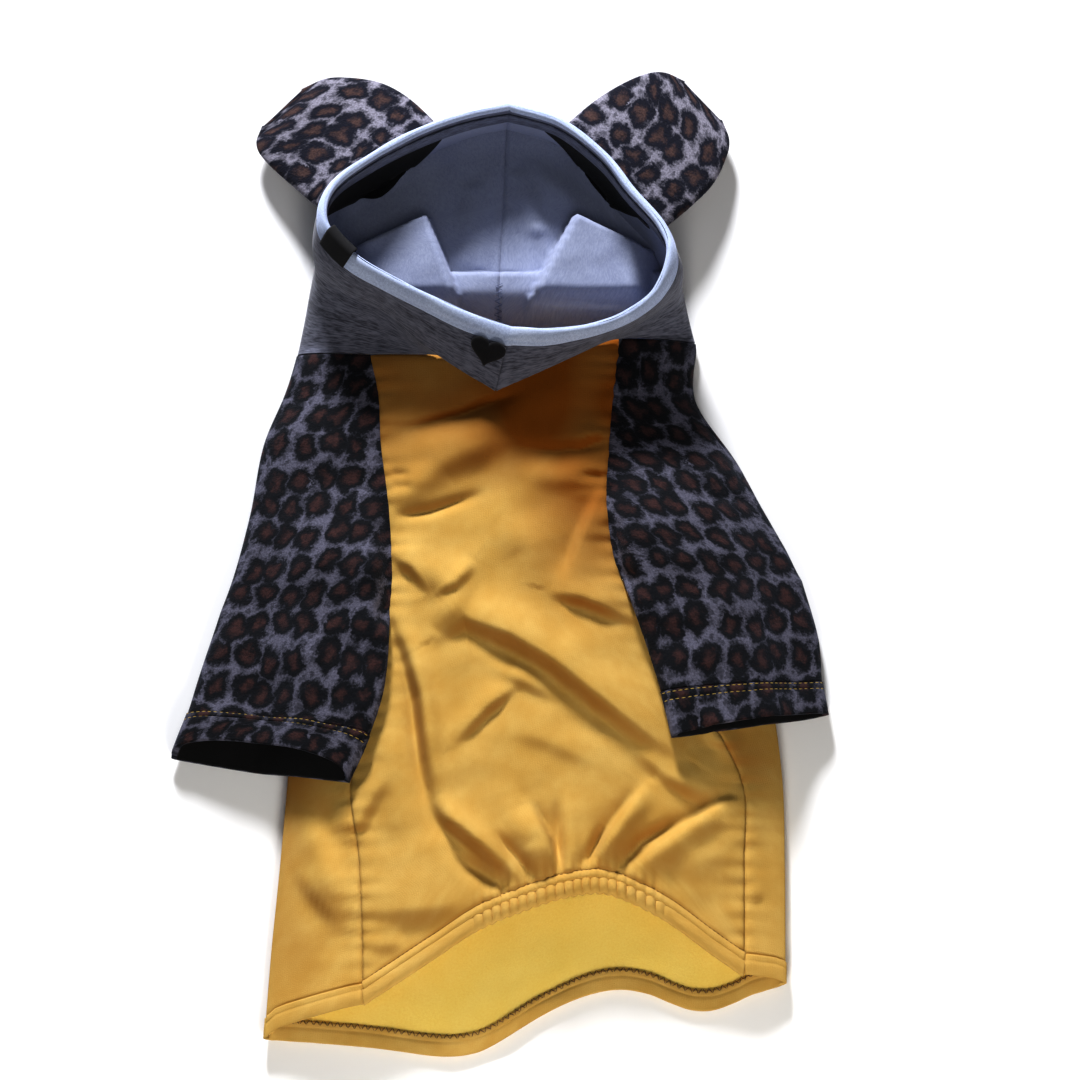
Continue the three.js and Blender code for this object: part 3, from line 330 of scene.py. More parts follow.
def fold_x(out, y):
    """Outer fold of the body, where its cloth turns from the top to the floor."""
    return BODY_WIDTH * read(BODY, "fold_l" if out < 0 else "fold_r", share_down(y))


def near_run(run, x, y):
    """Distance of a point from a run of points, above zero on its lower side, and how far along it is."""
    best, side, where = 1e9, 1, 0.0
    for i in range(len(run) - 1):
        ax, ay = run[i]
        bx, by = run[i + 1]
        dx, dy = bx - ax, by - ay
        t = clamp(((x - ax) * dx + (y - ay) * dy) / (dx * dx + dy * dy))
        gx, gy = x - ax - t * dx, y - ay - t * dy
        far = math.hypot(gx, gy)
        if far < best:
            best = far
            side = 1 if dx * gy - dy * gx < 0 else -1
            where = (i + t) / (len(run) - 1)
    return best * side, where


def in_mm(run):
    """A run of shares as points in millimetres."""
    return [(BODY_WIDTH * x, down_to(y)) for x, y in run]


def box_of(run, reach):
    """Box round a run, grown by a reach."""
    xs = [p[0] for p in run]
    ys = [p[1] for p in run]
    return min(xs) - reach, max(xs) + reach, min(ys) - reach, max(ys) + reach


def within(box, x, y):
    """Whether a point lies in a box."""
    return box[0] < x < box[1] and box[2] < y < box[3]


# Heights of the creases and swells, over those in their tables
CREASE_STRENGTH = 1.45
SWELL_STRENGTH = 1.4
CREASE_RUNS = [(in_mm(run), box_of(in_mm(run), above * 3), above, *rest) for run, above, *rest in CREASES]
SWELL_RUNS = [(in_mm(run), box_of(in_mm(run), spread * 3), spread, rise) for run, spread, rise in SWELLS]


def fold_height(x, y):
    """Sum of the creases and swells at a point of the belly side, in millimetres."""
    height = 0.0
    for run, box, above, below, rise, dip in CREASE_RUNS:
        if within(box, x, y):
            gap, where = near_run(run, x, y)
            if gap < 0:
                profile = rise * bell(gap, above)
            else:
                profile = (rise + dip) * bell(gap, below) - dip * bell(gap, below * 3)
            height += CREASE_STRENGTH * profile * hump(where, -0.10, 0.42, 0.60, 1.08)
    for run, box, spread, rise in SWELL_RUNS:
        if within(box, x, y):
            gap, where = near_run(run, x, y)
            height += SWELL_STRENGTH * rise * hump(where, -0.12, 0.4, 0.64, 1.1) * bell(gap, spread)
    return height


def crumple(x, y, z=0.0):
    """Soft uneven lie of the cloth, in millimetres."""
    broad = rough(x, y, 34, 3.1 + z)
    fine = rough(x, y, 13, 8.7 + z)
    drawn = noise.noise(Vector(((x + 0.6 * y) / 46, (y - 0.4 * x) / 15, 12.4 + z)))
    return 1.2 * broad + 0.45 * fine + 0.8 * drawn


@functools.lru_cache(maxsize=None)
def body_top(x, y):
    """Height of the middle of the cloth on the belly side."""
    left = fold_x(-1, y)
    right = fold_x(1, y)
    inset = clamp(min(x - left, right - x) / ((right - left) / 2))
    rise = (1 - (1 - inset) ** 2.2) ** 0.8
    loft = BODY_LOFT * read(BODY, "loft", share_down(y))
    quiet = step(inset, 0.02, 0.24) * step(share_down(y), 0.02, 0.07)
    detail = (fold_height(x, y) + crumple(x, y)) * quiet
    return CLOTH / 2 + FOLD_RADIUS + (loft - FOLD_RADIUS) * rise + detail


# Mesh size of the net between whose points the belly side's height is read
TOP_STEP = 2.5


def body_top_near(x, y):
    """Height of the belly side between points of a coarse net."""
    i = math.floor(x / TOP_STEP)
    j = math.floor(y / TOP_STEP)
    s = x / TOP_STEP - i
    t = y / TOP_STEP - j
    low = mix(body_top(i * TOP_STEP, j * TOP_STEP), body_top((i + 1) * TOP_STEP, j * TOP_STEP), s)
    high = mix(body_top(i * TOP_STEP, (j + 1) * TOP_STEP), body_top((i + 1) * TOP_STEP, (j + 1) * TOP_STEP), s)
    return mix(low, high, t)


# Width and half girth of the fold at the body's side, and how far its bend is felt on the top
FOLD_REACH = FOLD_RADIUS * 1.5
FOLD_ARC = FOLD_RADIUS * 2
SOFTNESS = 8.0


def reach_of(inset):
    """Distance along the body's section over the top that brings a point an inset in from the fold."""
    return (inset + math.sqrt(inset * inset + 4 * SOFTNESS * inset)) / 2


@functools.lru_cache(maxsize=None)
def section_spot(out, q, y):
    """Point of the body's section at a distance q from its fold: over the top above zero, else underneath."""
    fold = fold_x(out, y)
    if q >= 0:
        x = fold - out * q * q / (q + SOFTNESS)
        return Vector((x, y, body_top(x, y)))
    turn = min(1, -q / FOLD_ARC) * math.pi / 2
    along = max(0, -q - FOLD_ARC)
    x = fold - out * (FOLD_REACH * (1 - math.cos(turn)) + along)
    return Vector((x, y, CLOTH / 2 + FOLD_RADIUS * (1 - math.sin(turn))))


def section_point(out, q, y):
    """Point of the body's section that may be changed."""
    return section_spot(out, q, y).copy()


def neck_down(out):
    """Start of a sleeve's seam as a share of the body's length."""
    return read(NECK_EDGE, "down", 0 if out < 0 else 1)


def armpit_down(out):
    """End of an armhole as a share of the body's length."""
    lay = SLEEVES[0 if out < 0 else 1]["lay"]
    return neck_down(out) + ARMPIT * SLEEVE_LENGTH * lay / BODY_LENGTH


@functools.lru_cache(maxsize=None)
def back_edge(out, y):
    """Edge of the back panel as a distance from the fold."""
    down = share_down(y)
    armpit = armpit_down(out)
    over = reach_of(abs(seam_x(out, y) - fold_x(out, y)))
    under = -FOLD_ARC - BODY_WIDTH * read(BODY, "back", down)
    short = SLEEVE_FOLD * 3 * (1 - step(down, armpit, armpit + 0.02))
    return mix(under, over - short, step(down, armpit - 0.16, armpit))


# Slices of the back panel's width, taken closer together in the side folds
BACK_SLICES = 60


def back_point(u, y):
    """Point of the back panel, u from its left edge round the floor to its right edge."""
    edge_l = back_edge(-1, y)
    edge_r = back_edge(1, y)
    floor_half = (fold_x(1, y) - fold_x(-1, y)) / 2 - FOLD_REACH
    length_l = edge_l + FOLD_ARC + floor_half
    length_r = edge_r + FOLD_ARC + floor_half
    total = length_l + length_r
    sums = [0.0]
    for i in range(BACK_SLICES):
        t = (i + 0.5) / BACK_SLICES * total
        q = edge_l - t if t < length_l else edge_r - (total - t)
        sums.append(sums[i] + 1 + 3 * bell(q, FOLD_RADIUS * 1.8))
    i, part = stretch_at(sums, clamp(u) * sums[BACK_SLICES])
    t = (i + part) / BACK_SLICES * total
    if t < length_l:
        return section_point(-1, edge_l - t, y)
    return section_point(1, edge_r - (total - t), y)


def rest_height(out, x, y):
    """Height at which a sleeve's underside rests on the floor or over the body's side."""
    fold = fold_x(out, y)
    inset = -out * (x - fold)
    shelf = FOLD_RADIUS * 2.6
    lift = CLOTH / 2 + LAY_GAP
    drape = (body_top_near(fold - out * shelf, y) + lift) * step(inset, -FOLD_RADIUS * 4.4, shelf)
    cover = body_top_near(x, y) + lift if inset > 0 else 0
    return FLEECE / 2 + max(drape, cover)


def sleeve_point(sleeve, u, v):
    """Point of a sleeve: v from neck to mouth, u from the front seam over the top and back underneath."""
    # Inner and outer edge at this share of the sleeve's length
    out, rows = sleeve["out"], sleeve["rows"]
    inner_y = down_to(neck_down(out)) - v * SLEEVE_LENGTH * sleeve["lay"]
    armpit = armpit_down(out)
    below = step(v, ARMPIT, ARMPIT + 0.07)
    seam_at = seam_x(out, max(inner_y, down_to(armpit)))
    inner_x = seam_at + out * (SEAM_GAP / 2 + SLEEVE_WIDTH * read(rows, "shift", v))
    width = SLEEVE_WIDTH * read(rows, "width", v)
    outer_x = inner_x + out * width
    outer_y = inner_y + SLEEVE_WIDTH * read(rows, "rise", v)
    # Where the underside meets the back panel's edge, above the armpit
    edge = back_edge(out, inner_y)
    aside = mix(1.2, CLOTH + FLEECE + 0.5, step(edge, -FOLD_ARC * 2.4, -FOLD_ARC))
    edge_x = section_point(out, edge, inner_y).x + out * aside * (1 - step(edge, 0, FOLD_RADIUS))
    end_share = mix(clamp((edge_x - inner_x) / (outer_x - inner_x), 0, 0.9), 0, below)
    # Place round the sleeve
    upper = u < 0.5
    around = (1 - math.cos(math.pi * (u * 2 if upper else (1 - u) * 2))) / 2
    across = around if upper else end_share + (1 - end_share) * around
    x = mix(inner_x, outer_x, across)
    y = mix(inner_y, outer_y, across)
    # Height: a closed tube below the armpit, open towards the body above it
    down = share_down(inner_y)
    floor = FLEECE / 2
    rest = mix(floor, rest_height(out, x, y), step(down, armpit - 0.26, armpit - 0.13))
    rounded = clamp(4 * across * (1 - across)) ** 0.42
    seam_z = body_top(seam_at, inner_y)
    closed_top = rest + SLEEVE_FOLD + (SLEEVE_LOFT - SLEEVE_FOLD) * rounded
    closed_under = rest + SLEEVE_FOLD * (1 - rounded)
    if upper:
        outward = (1 - across ** 2.2) ** 0.7
        neck_top = floor + SLEEVE_FOLD + (seam_z - floor - SLEEVE_FOLD) * outward
        side_top = mix(seam_z, closed_top, step(across * width, 0, SLEEVE_FOLD * 3))
        open_top = mix(neck_top, side_top, step(down, armpit - 0.2, armpit - 0.04))
        return Vector((x, y, mix(open_top, closed_top, below) + sleeve_puff(sleeve, x, y, across)))
    end_z = mix(floor, rest_height(out, edge_x, inner_y), step(edge, -FOLD_ARC, FOLD_RADIUS))
    outer_round = rest + SLEEVE_FOLD * (1 - rounded) if across > 0.5 else rest
    open_under = mix(outer_round, end_z, 1 - step(abs(x - edge_x), 0, FOLD_RADIUS * 3))
    return Vector((x, y, mix(open_under, closed_under, below)))


# Soft folds across the sleeves: side, points in shares of body width and length, spread and rise
SLEEVE_FOLDS = [
    (1, [(0.400, 0.222), (0.450, 0.216), (0.520, 0.218)], 3.2, -1.9),
    (1, [(0.380, 0.190), (0.470, 0.175)], 6.0, 1.4),
    (1, [(0.300, 0.300), (0.420, 0.330)], 8.0, 1.0),
    (1, [(0.260, 0.130), (0.380, 0.110)], 5.0, -0.9),
    (-1, [(-0.300, 0.150), (-0.400, 0.130)], 7.0, 0.9),
    (-1, [(-0.260, 0.330), (-0.430, 0.350)], 8.0, -1.0),
    (-1, [(-0.260, 0.480), (-0.460, 0.420)], 9.0, 1.0),
    (1, [(0.330, 0.420), (0.560, 0.400)], 9.0, -0.9),
]
SLEEVE_RUNS = [(out, in_mm(run), box_of(in_mm(run), spread * 3), spread, rise)
               for out, run, spread, rise in SLEEVE_FOLDS]


def sleeve_puff(sleeve, x, y, across):
    """Soft folds and unevenness of a sleeve's upper side."""
    height = 1.3 * crumple(x, y, 5.0)
    for out, run, box, spread, rise in SLEEVE_RUNS:
        if out == sleeve["out"] and within(box, x, y):
            gap, where = near_run(run, x, y)
            height += rise * bell(gap, spread) * hump(where, -0.05, 0.2, 0.8, 1.05)
    return height * hump(across, 0.0, 0.12, 0.9, 1.0)


def edge_y(rows, u):
    """Place along the body of the neck edge or a hem."""
    return down_to(read(rows, "down", u))


def belly_point(u, y):
    """Point of the belly side between its two seams."""
    x = mix(seam_x(-1, y) + SEAM_GAP, seam_x(1, y) - SEAM_GAP, u)
    return Vector((x, y, body_top(x, y)))


# Part of the casing that the elastic gathers, as shares of its width, and its count of ripples
GATHER_START = 0.28
GATHER_END = 0.8
GATHERS = 22


def gathered(u):
    """Pull of the elastic at a share of the casing, that place's share of the gathers, and the ripples' drift."""
    share = (u - GATHER_START) / (GATHER_END - GATHER_START)
    drift = noise.noise(Vector((share * 6, 2.2, 0.4))) * 1.4
    return hump(share, -0.03, 0.1, 0.9, 1.03), share, drift


def gather(u, above):
    """Ripples that the elastic pulls up, fading with the height above the casing."""
    pull, share, drift = gathered(u)
    close = math.cos(2 * math.pi * GATHERS * share + drift)
    wide = math.cos(math.pi * GATHERS * share * 0.75 + 2 * drift)
    return pull * (1.3 * close * math.exp(-above / 4.5) + 0.9 * wide * bell(above, 14))


def pucker(y, gap, phase):
    """Small ripples beside a seam, and the roll of the cloth down into it."""
    ripple = 0.5 * math.sin(2 * math.pi * (y / 8.5 + 0.6 * noise.noise(Vector((y / 19, phase, 0)))))
    return ripple * math.exp(-gap / 7.0) - 0.95 * bell(gap, 1.3)


def place_mesh(name, bm, *looks):
    """Object in the scene with a built mesh and its materials."""
    mesh = bpy.data.meshes.new(name)
    bm.to_mesh(mesh)
    bm.free()
    for look in looks:
        mesh.materials.append(look)
    piece = bpy.data.objects.new(name, mesh)
    bpy.context.scene.collection.objects.link(piece)
    return piece


def map_cloth(bm, places, grid, columns, rows):
    """Map in metres along the cloth, measured from its middle column."""
    middle = columns // 2
    along = running_lengths([grid[(middle, j)] for j in range(rows + 1)])
    across = {}
    for j in range(rows + 1):
        lengths = running_lengths([grid[(i, j)] for i in range(columns + 1)])
        for i, length in enumerate(lengths):
            across[(i, j)] = length - lengths[middle]
    layer = bm.loops.layers.uv.new("cloth")
    for face in bm.faces:
        face.smooth = True
        for loop in face.loops:
            place = places[loop.vert]
            loop[layer].uv = (across[place], along[place[1]])


def cloth(name, point, columns, rows, wall, outside, inside, end=1, closed=False, edges=None, flip=False,
          paint_shade=None):
    """A sheet of cloth: a grid moved onto a surface, as far as an end, and given its wall.

    A closed sheet is joined along its side edges. The shading call gives the share of painted shade at a point and
    slope of the cloth, kept in its depth attribute."""
    bm = bmesh.new()
    # The depth attribute holds the share of painted shade at each point.
    depth = bm.verts.layers.float.new("depth") if paint_shade else None
    bmesh.ops.create_grid(bm, x_segments=columns, y_segments=rows, size=0.5)
    places = {}
    for vert in bm.verts:
        i = round((vert.co.x + 0.5) * columns)
        j = round((vert.co.y + 0.5) * rows)
        vert.co = point(i / columns, end * (j / rows)) * MM
        places[vert] = (i, j)
    grid = {place: vert.co.copy() for vert, place in places.items()}
    map_cloth(bm, places, grid, columns, rows)
    # Painted shade from each point's place and the slope down the cloth.
    if paint_shade:
        for vert, (i, j) in places.items():
            upper = grid[(i, max(0, j - 1))]
            lower = grid[(i, min(rows, j + 1))]
            vert[depth] = paint_shade(vert.co / MM, (upper.z - lower.z) / max(1e-6, (upper - lower).length))
    if closed:
        bmesh.ops.remove_doubles(bm, verts=bm.verts, dist=JOIN_GAP)
    if flip:
        bmesh.ops.reverse_faces(bm, faces=bm.faces)
    piece = place_mesh(name, bm, outside, inside, edges or outside)
    solid = piece.modifiers.new("wall", "SOLIDIFY")
    solid.thickness = wall * MM
    solid.offset = 0
    solid.material_offset = 1
    solid.material_offset_rim = 2
    solid.use_even_offset = False
    return piece


# Hood
def spaced(count, start=0.0, end=1.0):
    """Evenly spaced values from start to end."""
    return [mix(start, end, i / count) for i in range(count + 1)]


def neck_ring(sleeve):
    """Neck edge of one half, from the front middle over the sleeve's fold to the back middle."""
    edge = 0 if sleeve["out"] < 0 else 1
    front = [mix(MIDDLE_SHARE, edge, t) for t in spaced(16)[:-1]]
    back = [mix(edge, 0.5, t) for t in spaced(16)[1:]]
    ring = [belly_point(u, edge_y(NECK_EDGE, u)) for u in front]
    ring += [sleeve_point(sleeve, u, 0) for u in spaced(40)]
    ring += [back_point(u, edge_y(NECK_EDGE, u)) for u in back]
    lengths = running_lengths(ring)

    def at(share):
        i, part = stretch_at(lengths, clamp(share) * lengths[-1])
        return ring[i].lerp(ring[i + 1], part)

    return at


RINGS = [neck_ring(sleeve) for sleeve in SLEEVES]


def hood_floor(x, y):
    """Height of the hood's lying side: a low crown pocket, a middle strip and two flaps that stand up."""
    px = x / HOOD_WIDTH
    py = (y - HOOD_Y) / FACE_LENGTH
    to_neck = step(py, -0.5, -0.34)
    strip = 0.5 * (1 - step(py, -0.275, -0.255)) * to_neck
    left_edge = mix(-0.2, -0.11, clamp((-0.04 - py) / 0.36))
    left_top = mix(-0.16, -0.02, clamp((px + 0.42) / 0.2))
    left = (1 - step(px, left_edge - 0.018, left_edge + 0.004)) * (1 - step(py, left_top - 0.02, left_top + 0.015))
    right_edge = mix(0.21, 0.07, clamp((-0.02 - py) / 0.4))
    right_top = mix(-0.01, -0.16, clamp((px - 0.22) / 0.2))
    right = step(px, right_edge - 0.004, right_edge + 0.018) * (1 - step(py, right_top - 0.02, right_top + 0.015))
    side = 1 - step(abs(px), 0.38, 0.5)
    flaps = max(left, right) * to_neck * side
    crown = (1 - flaps) * (1 - strip) * hood_ridges(px, py)
    soft = 1.2 * rough(x, y, 22, 4.2) + 0.35 * rough(x, y, 8, 1.2)
    return CLOTH / 2 + FLAP_HEIGHT * max(strip, flaps) + max(-0.5, crown + soft * to_neck)


# Soft ridges in the crown pocket: both ends in shares of the hood's width and face length, spread and rise
RIDGES = [
    ([(0.02, -0.24), (0.02, 0.26)], 0.018, 0.9),
    ([(-0.10, -0.20), (-0.075, 0.12)], 0.03, 1.6),
    ([(-0.055, -0.22), (-0.035, 0.18)], 0.02, 1.0),
    ([(0.06, 0.18), (0.115, -0.06)], 0.028, 2.0),
    ([(0.115, -0.06), (0.16, -0.20)], 0.028, 2.2),
    ([(0.10, 0.22), (0.24, 0.02)], 0.04, 1.4),
]


def hood_ridges(px, py):
    """Height of the soft ridges in the crown pocket."""
    return sum(rise * bell(near_run(run, px, py)[0], spread) for run, spread, rise in RIDGES)


@functools.lru_cache(maxsize=None)
def rib(index, a):
    """One rib of a hood half: its ends at the rim, the base and the neck, and how far it lies or laps."""
    rows = HOOD[index]["rows"]
    rim, base = (
        Vector((HOOD_WIDTH * read(rows, end + "_x", a), HOOD_Y + FACE_LENGTH * read(rows, end + "_y", a),
                HOOD_HEIGHT * read(rows, end + "_z", a)))
        for end in ("rim", "base"))
    neck = RINGS[index](read(rows, "neck", a))
    neck.y += 0.6
    lapped = step(neck.y - base.y, -10, 4)
    neck.z += (CLOTH + LAY_GAP) * lapped
    return rim, base, neck, read(rows, "floor", a), lapped


def hood_point(index, a, s):
    """Point of a hood half: a runs along the rim from chin to crown, s down the rib from rim to neck."""
    rim, base, neck, lies, lapped = rib(index, a)
    if s <= WALL_SHARE:
        t = s / WALL_SHARE
        place = rim.lerp(base, t)
        bulge = math.sin(math.pi * t)
        place.z += 3 * bulge * (1 - lies)
        place.x += HOOD[index]["out"] * 3 * bulge * step(abs(rim.x) / HOOD_WIDTH, 0.2, 0.4)
        return place
    t = (s - WALL_SHARE) / (1 - WALL_SHARE)
    place = base.lerp(neck, t)
    sag = math.sin(math.pi * t) * (1 - t)
    hanging = mix(base.z, neck.z, 1 - (1 - t) ** 1.6) - 1.5 * sag * lapped
    lying = mix(hood_floor(place.x, place.y), neck.z, step(t, 0.9, 1))
    lying_from_base = mix(base.z, lying, step(t, 0, 0.12))
    place.z = mix(hanging, lying_from_base, lies)
    return place


def hood_half(index, a, s):
    """Point of a hood half, dipped at the chin seam and the back seam."""
    place = hood_point(index, a, s)
    at_seam = max(bell(a, 0.012), bell(1 - a, 0.012))
    place.z = max(place.z - 0.7 * at_seam, CLOTH / 2 + 0.05)
    return place


@functools.lru_cache(maxsize=None)
def rim_share(index, a):
    """Share of the rib at which the rim ends and the hood's own cloth begins."""
    edge = hood_point(index, a, 0)
    low, high = 0.0, WALL_SHARE
    for _ in range(12):
        s = (low + high) / 2
        if (hood_point(index, a, s) - edge).length > RIM_DEPTH - 0.5:
            high = s
        else:
            low = s
    return high


def rim_frame(index, a):
    """Edge of the rim, the way down the wall and the way out through it."""
    place = hood_point(index, a, 0)
    down = (hood_point(index, a, rim_share(index, a)) - place).normalized()
    after = hood_point(index, min(1, a + 0.01), 0)
    before = hood_point(index, max(0, a - 0.01), 0)
    outward = (after - before).cross(down).normalized() * -HOOD[index]["out"]
    return place, down, outward


def rim_loop(share):
    """Rim frame at a share of the whole loop: chin, left side, crown, right side and back to the chin."""
    share = share % 1.0
    if share <= 0.5:
        return rim_frame(0, share * 2)
    return rim_frame(1, 2 - share * 2)


def rim_point(edge, deep, wide):
    """Point beside the rim's edge, so far down the wall and so far out through it."""
    place, down, outward = edge
    return place + down * deep + outward * wide


def ear_frame(ear):
    """Root of an ear, the way to its tip and the way across it."""
    turn = math.radians(ear["turn"])
    forth = Vector((math.cos(turn), math.sin(turn), 0))
    across = Vector((-forth.y, forth.x, 0))
    base = Vector((HOOD_WIDTH * ear["base_x"], HOOD_Y + FACE_LENGTH * ear["base_y"], 0))
    return base, forth, across


def ear_section(ear, share, turn, inset=0.0):
    """Point of an ear's section at a share of its length and a turn round it."""
    base, forth, across = ear_frame(ear)
    far = read(EAR, "far", share) * EAR_WIDTH - inset
    near = read(EAR, "near", share) * EAR_WIDTH - inset
    closing = math.sqrt(max(0.0, 1 - step(share, 0.72, 1.0) ** 2.2))
    half = read(EAR, "thick", share) * EAR_THICKNESS / 2 * mix(0.06, 1, closing) - inset
    middle = read(EAR, "middle", share) * EAR_THICKNESS * 0.98
    wide = math.cos(turn) * (far if math.cos(turn) > 0 else near)
    high = squared_off(math.sin(turn), 0.7) * max(0.2, half)
    drift = ear["lean"] * share * share * EAR_WIDTH
    place = base + forth * (share * EAR_LENGTH) + across * (wide + drift)
    place.z = middle + high
    return place


def wall_outline(index, height):
    """Outline of the hood's wall at a height, near its ear."""
    outline = []
    for a in spaced(40, 0.45, 1):
        rim_z = HOOD_HEIGHT * read(HOOD[index]["rows"], "rim_z", a)
        base_z = HOOD_HEIGHT * read(HOOD[index]["rows"], "base_z", a)
        t = clamp((rim_z - height) / (rim_z - base_z))
        outline.append(hood_point(index, a, WALL_SHARE * t))
    return outline


# Outlines of both halves' walls at evenly spaced heights, in millimetres
LEVEL_STEP = 2
LEVELS = 20
OUTLINES = [[wall_outline(index, level * LEVEL_STEP) for level in range(LEVELS)] for index in (0, 1)]


def wall_distance(index, point, forth):
    """Distance along the ear's axis from a point to the hood's wall at its height."""
    best = None
    level = OUTLINES[index][int(clamp(round(point.z / LEVEL_STEP), 0, LEVELS - 1))]
    for one, two in zip(level, level[1:]):
        a, b = one - point, two - point
        side_a = a.x * forth.y - a.y * forth.x
        side_b = b.x * forth.y - b.y * forth.x
        if side_a * side_b <= 0 and side_a != side_b:
            t = side_a / (side_a - side_b)
            reach = mix(a.x, b.x, t) * forth.x + mix(a.y, b.y, t) * forth.y
            best = reach if best is None else max(best, reach)
    return best


@functools.lru_cache(maxsize=None)
def root_reach(index, turn):
    """Distance from an ear's root to the hood's wall, at a turn round the ear."""
    return wall_distance(index, ear_section(EARS[index], 0, turn, FLEECE / 2), ear_frame(EARS[index])[1])


def ear_point(index, ear, u, v):
    """Point of an ear: v from the hood's wall to the tip, u round it."""
    turn = 2 * math.pi * u
    forth = ear_frame(ear)[1]
    place = ear_section(ear, v, turn, FLEECE / 2)
    reach = root_reach(index, turn)
    if reach is not None:
        place += forth * (reach + CLOTH / 2 + EAR_GAP) * (1 - step(v, 0, 0.3))
    place.z += 0.5 * rough(place.x, place.y, 15, 9.0) * step(v, 0.05, 0.3)
    return place


# A place outside a slot, and how far from the ear's root and from the hood's wall a slot is looked for
OUTSIDE_SLOT = (9.0, 0, 0)
SLOT_SEARCH = 30
OFF_WALL = 7


def in_slot(ear, place):
    """Size of a wall point's place in the ear's hollow section: under 1 inside, with its place across and up."""
    base, forth, across = ear_frame(ear)
    off = place - base
    if abs(off.dot(forth)) > SLOT_SEARCH:
        return OUTSIDE_SLOT
    wide = off.dot(across)
    limit = (read(EAR, "far", 0) if wide > 0 else read(EAR, "near", 0)) * EAR_WIDTH - FLEECE - 2
    half = EAR_THICKNESS / 2 - FLEECE + 1.6
    high = place.z - read(EAR, "middle", 0) * EAR_THICKNESS * 0.98
    return math.hypot(wide / limit, high / half), wide, high


# Materials
def rgb(red, green, blue):
    """Linear colour from screen values out of 255."""
    def linear(value):
        value /= 255
        return value / 12.92 if value <= 0.04045 else ((value + 0.055) / 1.055) ** 2.4
    return (linear(red), linear(green), linear(blue), 1.0)


class Wire:
    """Output of a shader node. Sums and products with it add math nodes to its tree."""

    def __init__(self, socket):
        self.socket = socket

    def __add__(self, other):
        return calc("ADD", self, other)

    def __sub__(self, other):
        return calc("SUBTRACT", self, other)

    def __rsub__(self, other):
        return calc("SUBTRACT", other, self)

    def __mul__(self, other):
        return calc("MULTIPLY", self, other)


def tree_of(*values):
    """Node tree of the first wire among some values."""
    return next(value.socket.id_data for value in values if isinstance(value, Wire))


def feed(socket, value):
    """Links an input to a wire, or sets its value."""
    if isinstance(value, Wire):
        socket.id_data.links.new(value.socket, socket)
    else:
        socket.default_value = value


def add(tree, kind, inputs=(), **settings):
    """A node with its settings and its inputs, each a value or a wire."""
    made = tree.nodes.new("ShaderNode" + kind)
    for key, value in settings.items():
        setattr(made, key, value)
    for key, value in dict(inputs).items():
        feed(made.inputs[key], value)
    return made


def calc(operation, *values):
    """Result of a math node."""
    return Wire(add(tree_of(*values), "Math", dict(enumerate(values)), operation=operation).outputs[0])


def vector_calc(operation, one, two):
    """Result of a vector math node."""
    second = "Scale" if operation == "SCALE" else 1
    return Wire(add(tree_of(one), "VectorMath", {0: one, second: two}, operation=operation).outputs[0])


def stretch(place, x, y, z=1.0):
    """A map scaled differently along and across the cloth."""
    return vector_calc("MULTIPLY", place, (x, y, z))


def split(place):
    """The parts of a map across and along the cloth."""
    parts = add(tree_of(place), "SeparateXYZ", {0: place}).outputs
    return Wire(parts["X"]), Wire(parts["Y"])


def ramp(value, low, high, start=0.0, end=1.0):
    """Smooth change from start to end as a value goes from low to high."""
    inputs = {"Value": value, "From Min": low, "From Max": high, "To Min": start, "To Max": end}
    return Wire(add(tree_of(value), "MapRange", inputs, interpolation_type="SMOOTHSTEP").outputs["Result"])


def blend(factor, one, two, mode="MIX"):
    """Mix of two colours."""
    made = add(tree_of(factor, one), "Mix", {"Factor": factor}, data_type="RGBA", blend_type=mode)
    for name, value in (("A", one), ("B", two)):
        feed(next(s for s in made.inputs if s.name == name and s.type == "RGBA"), value)
    return Wire(next(s for s in made.outputs if s.type == "RGBA"))


def shaded(color, shade):
    """A colour made darker or lighter by a value."""
    grey = Wire(add(tree_of(shade), "CombineColor", {0: shade, 1: shade, 2: shade}).outputs[0])
    return blend(1.0, color, grey, "MULTIPLY")


def noise_at(place, scale, detail=3.0, roughness=0.55, output="Fac"):
    """Noise at a place of the map."""
    inputs = {"Vector": place, "Scale": scale, "Detail": detail, "Roughness": roughness}
    return Wire(add(tree_of(place), "TexNoise", inputs).outputs[output])


def cell_distance(place, scale, randomness):
    """Distance from the middle of the nearest of some flat cells."""
    inputs = {"Vector": place, "Scale": scale, "Randomness": randomness}
    return Wire(add(tree_of(place), "TexVoronoi", inputs, voronoi_dimensions="2D").outputs["Distance"])


def start_group(name, colours, values=()):
    """Empty node group with a map, colours and values as inputs, and the wires of these by name."""
    tree = bpy.data.node_groups.new(name, "ShaderNodeTree")
    kinds = {"Map": "Vector", **dict.fromkeys(colours, "Color"), **dict.fromkeys(values, "Float")}
    for label, kind in kinds.items():
        tree.interface.new_socket(name=label, in_out="INPUT", socket_type="NodeSocket" + kind)
    sockets = tree.nodes.new("NodeGroupInput").outputs
    return tree, {label: Wire(sockets[label]) for label in kinds}


def end_group(tree, color, height, roughness=None):
    """Node group with its outputs."""
    results = {"Color": color, "Height": height}
    if roughness:
        results["Roughness"] = roughness
    for label in results:
        kind = "Color" if label == "Color" else "Float"
        tree.interface.new_socket(name=label, in_out="OUTPUT", socket_type="NodeSocket" + kind)
    sockets = tree.nodes.new("NodeGroupOutput").inputs
    for label, wire in results.items():
        feed(sockets[label], wire)
    return tree


KNIT_COLUMN = 0.0012    # metres between columns and rows of the knit
KNIT_ROW = 0.0010


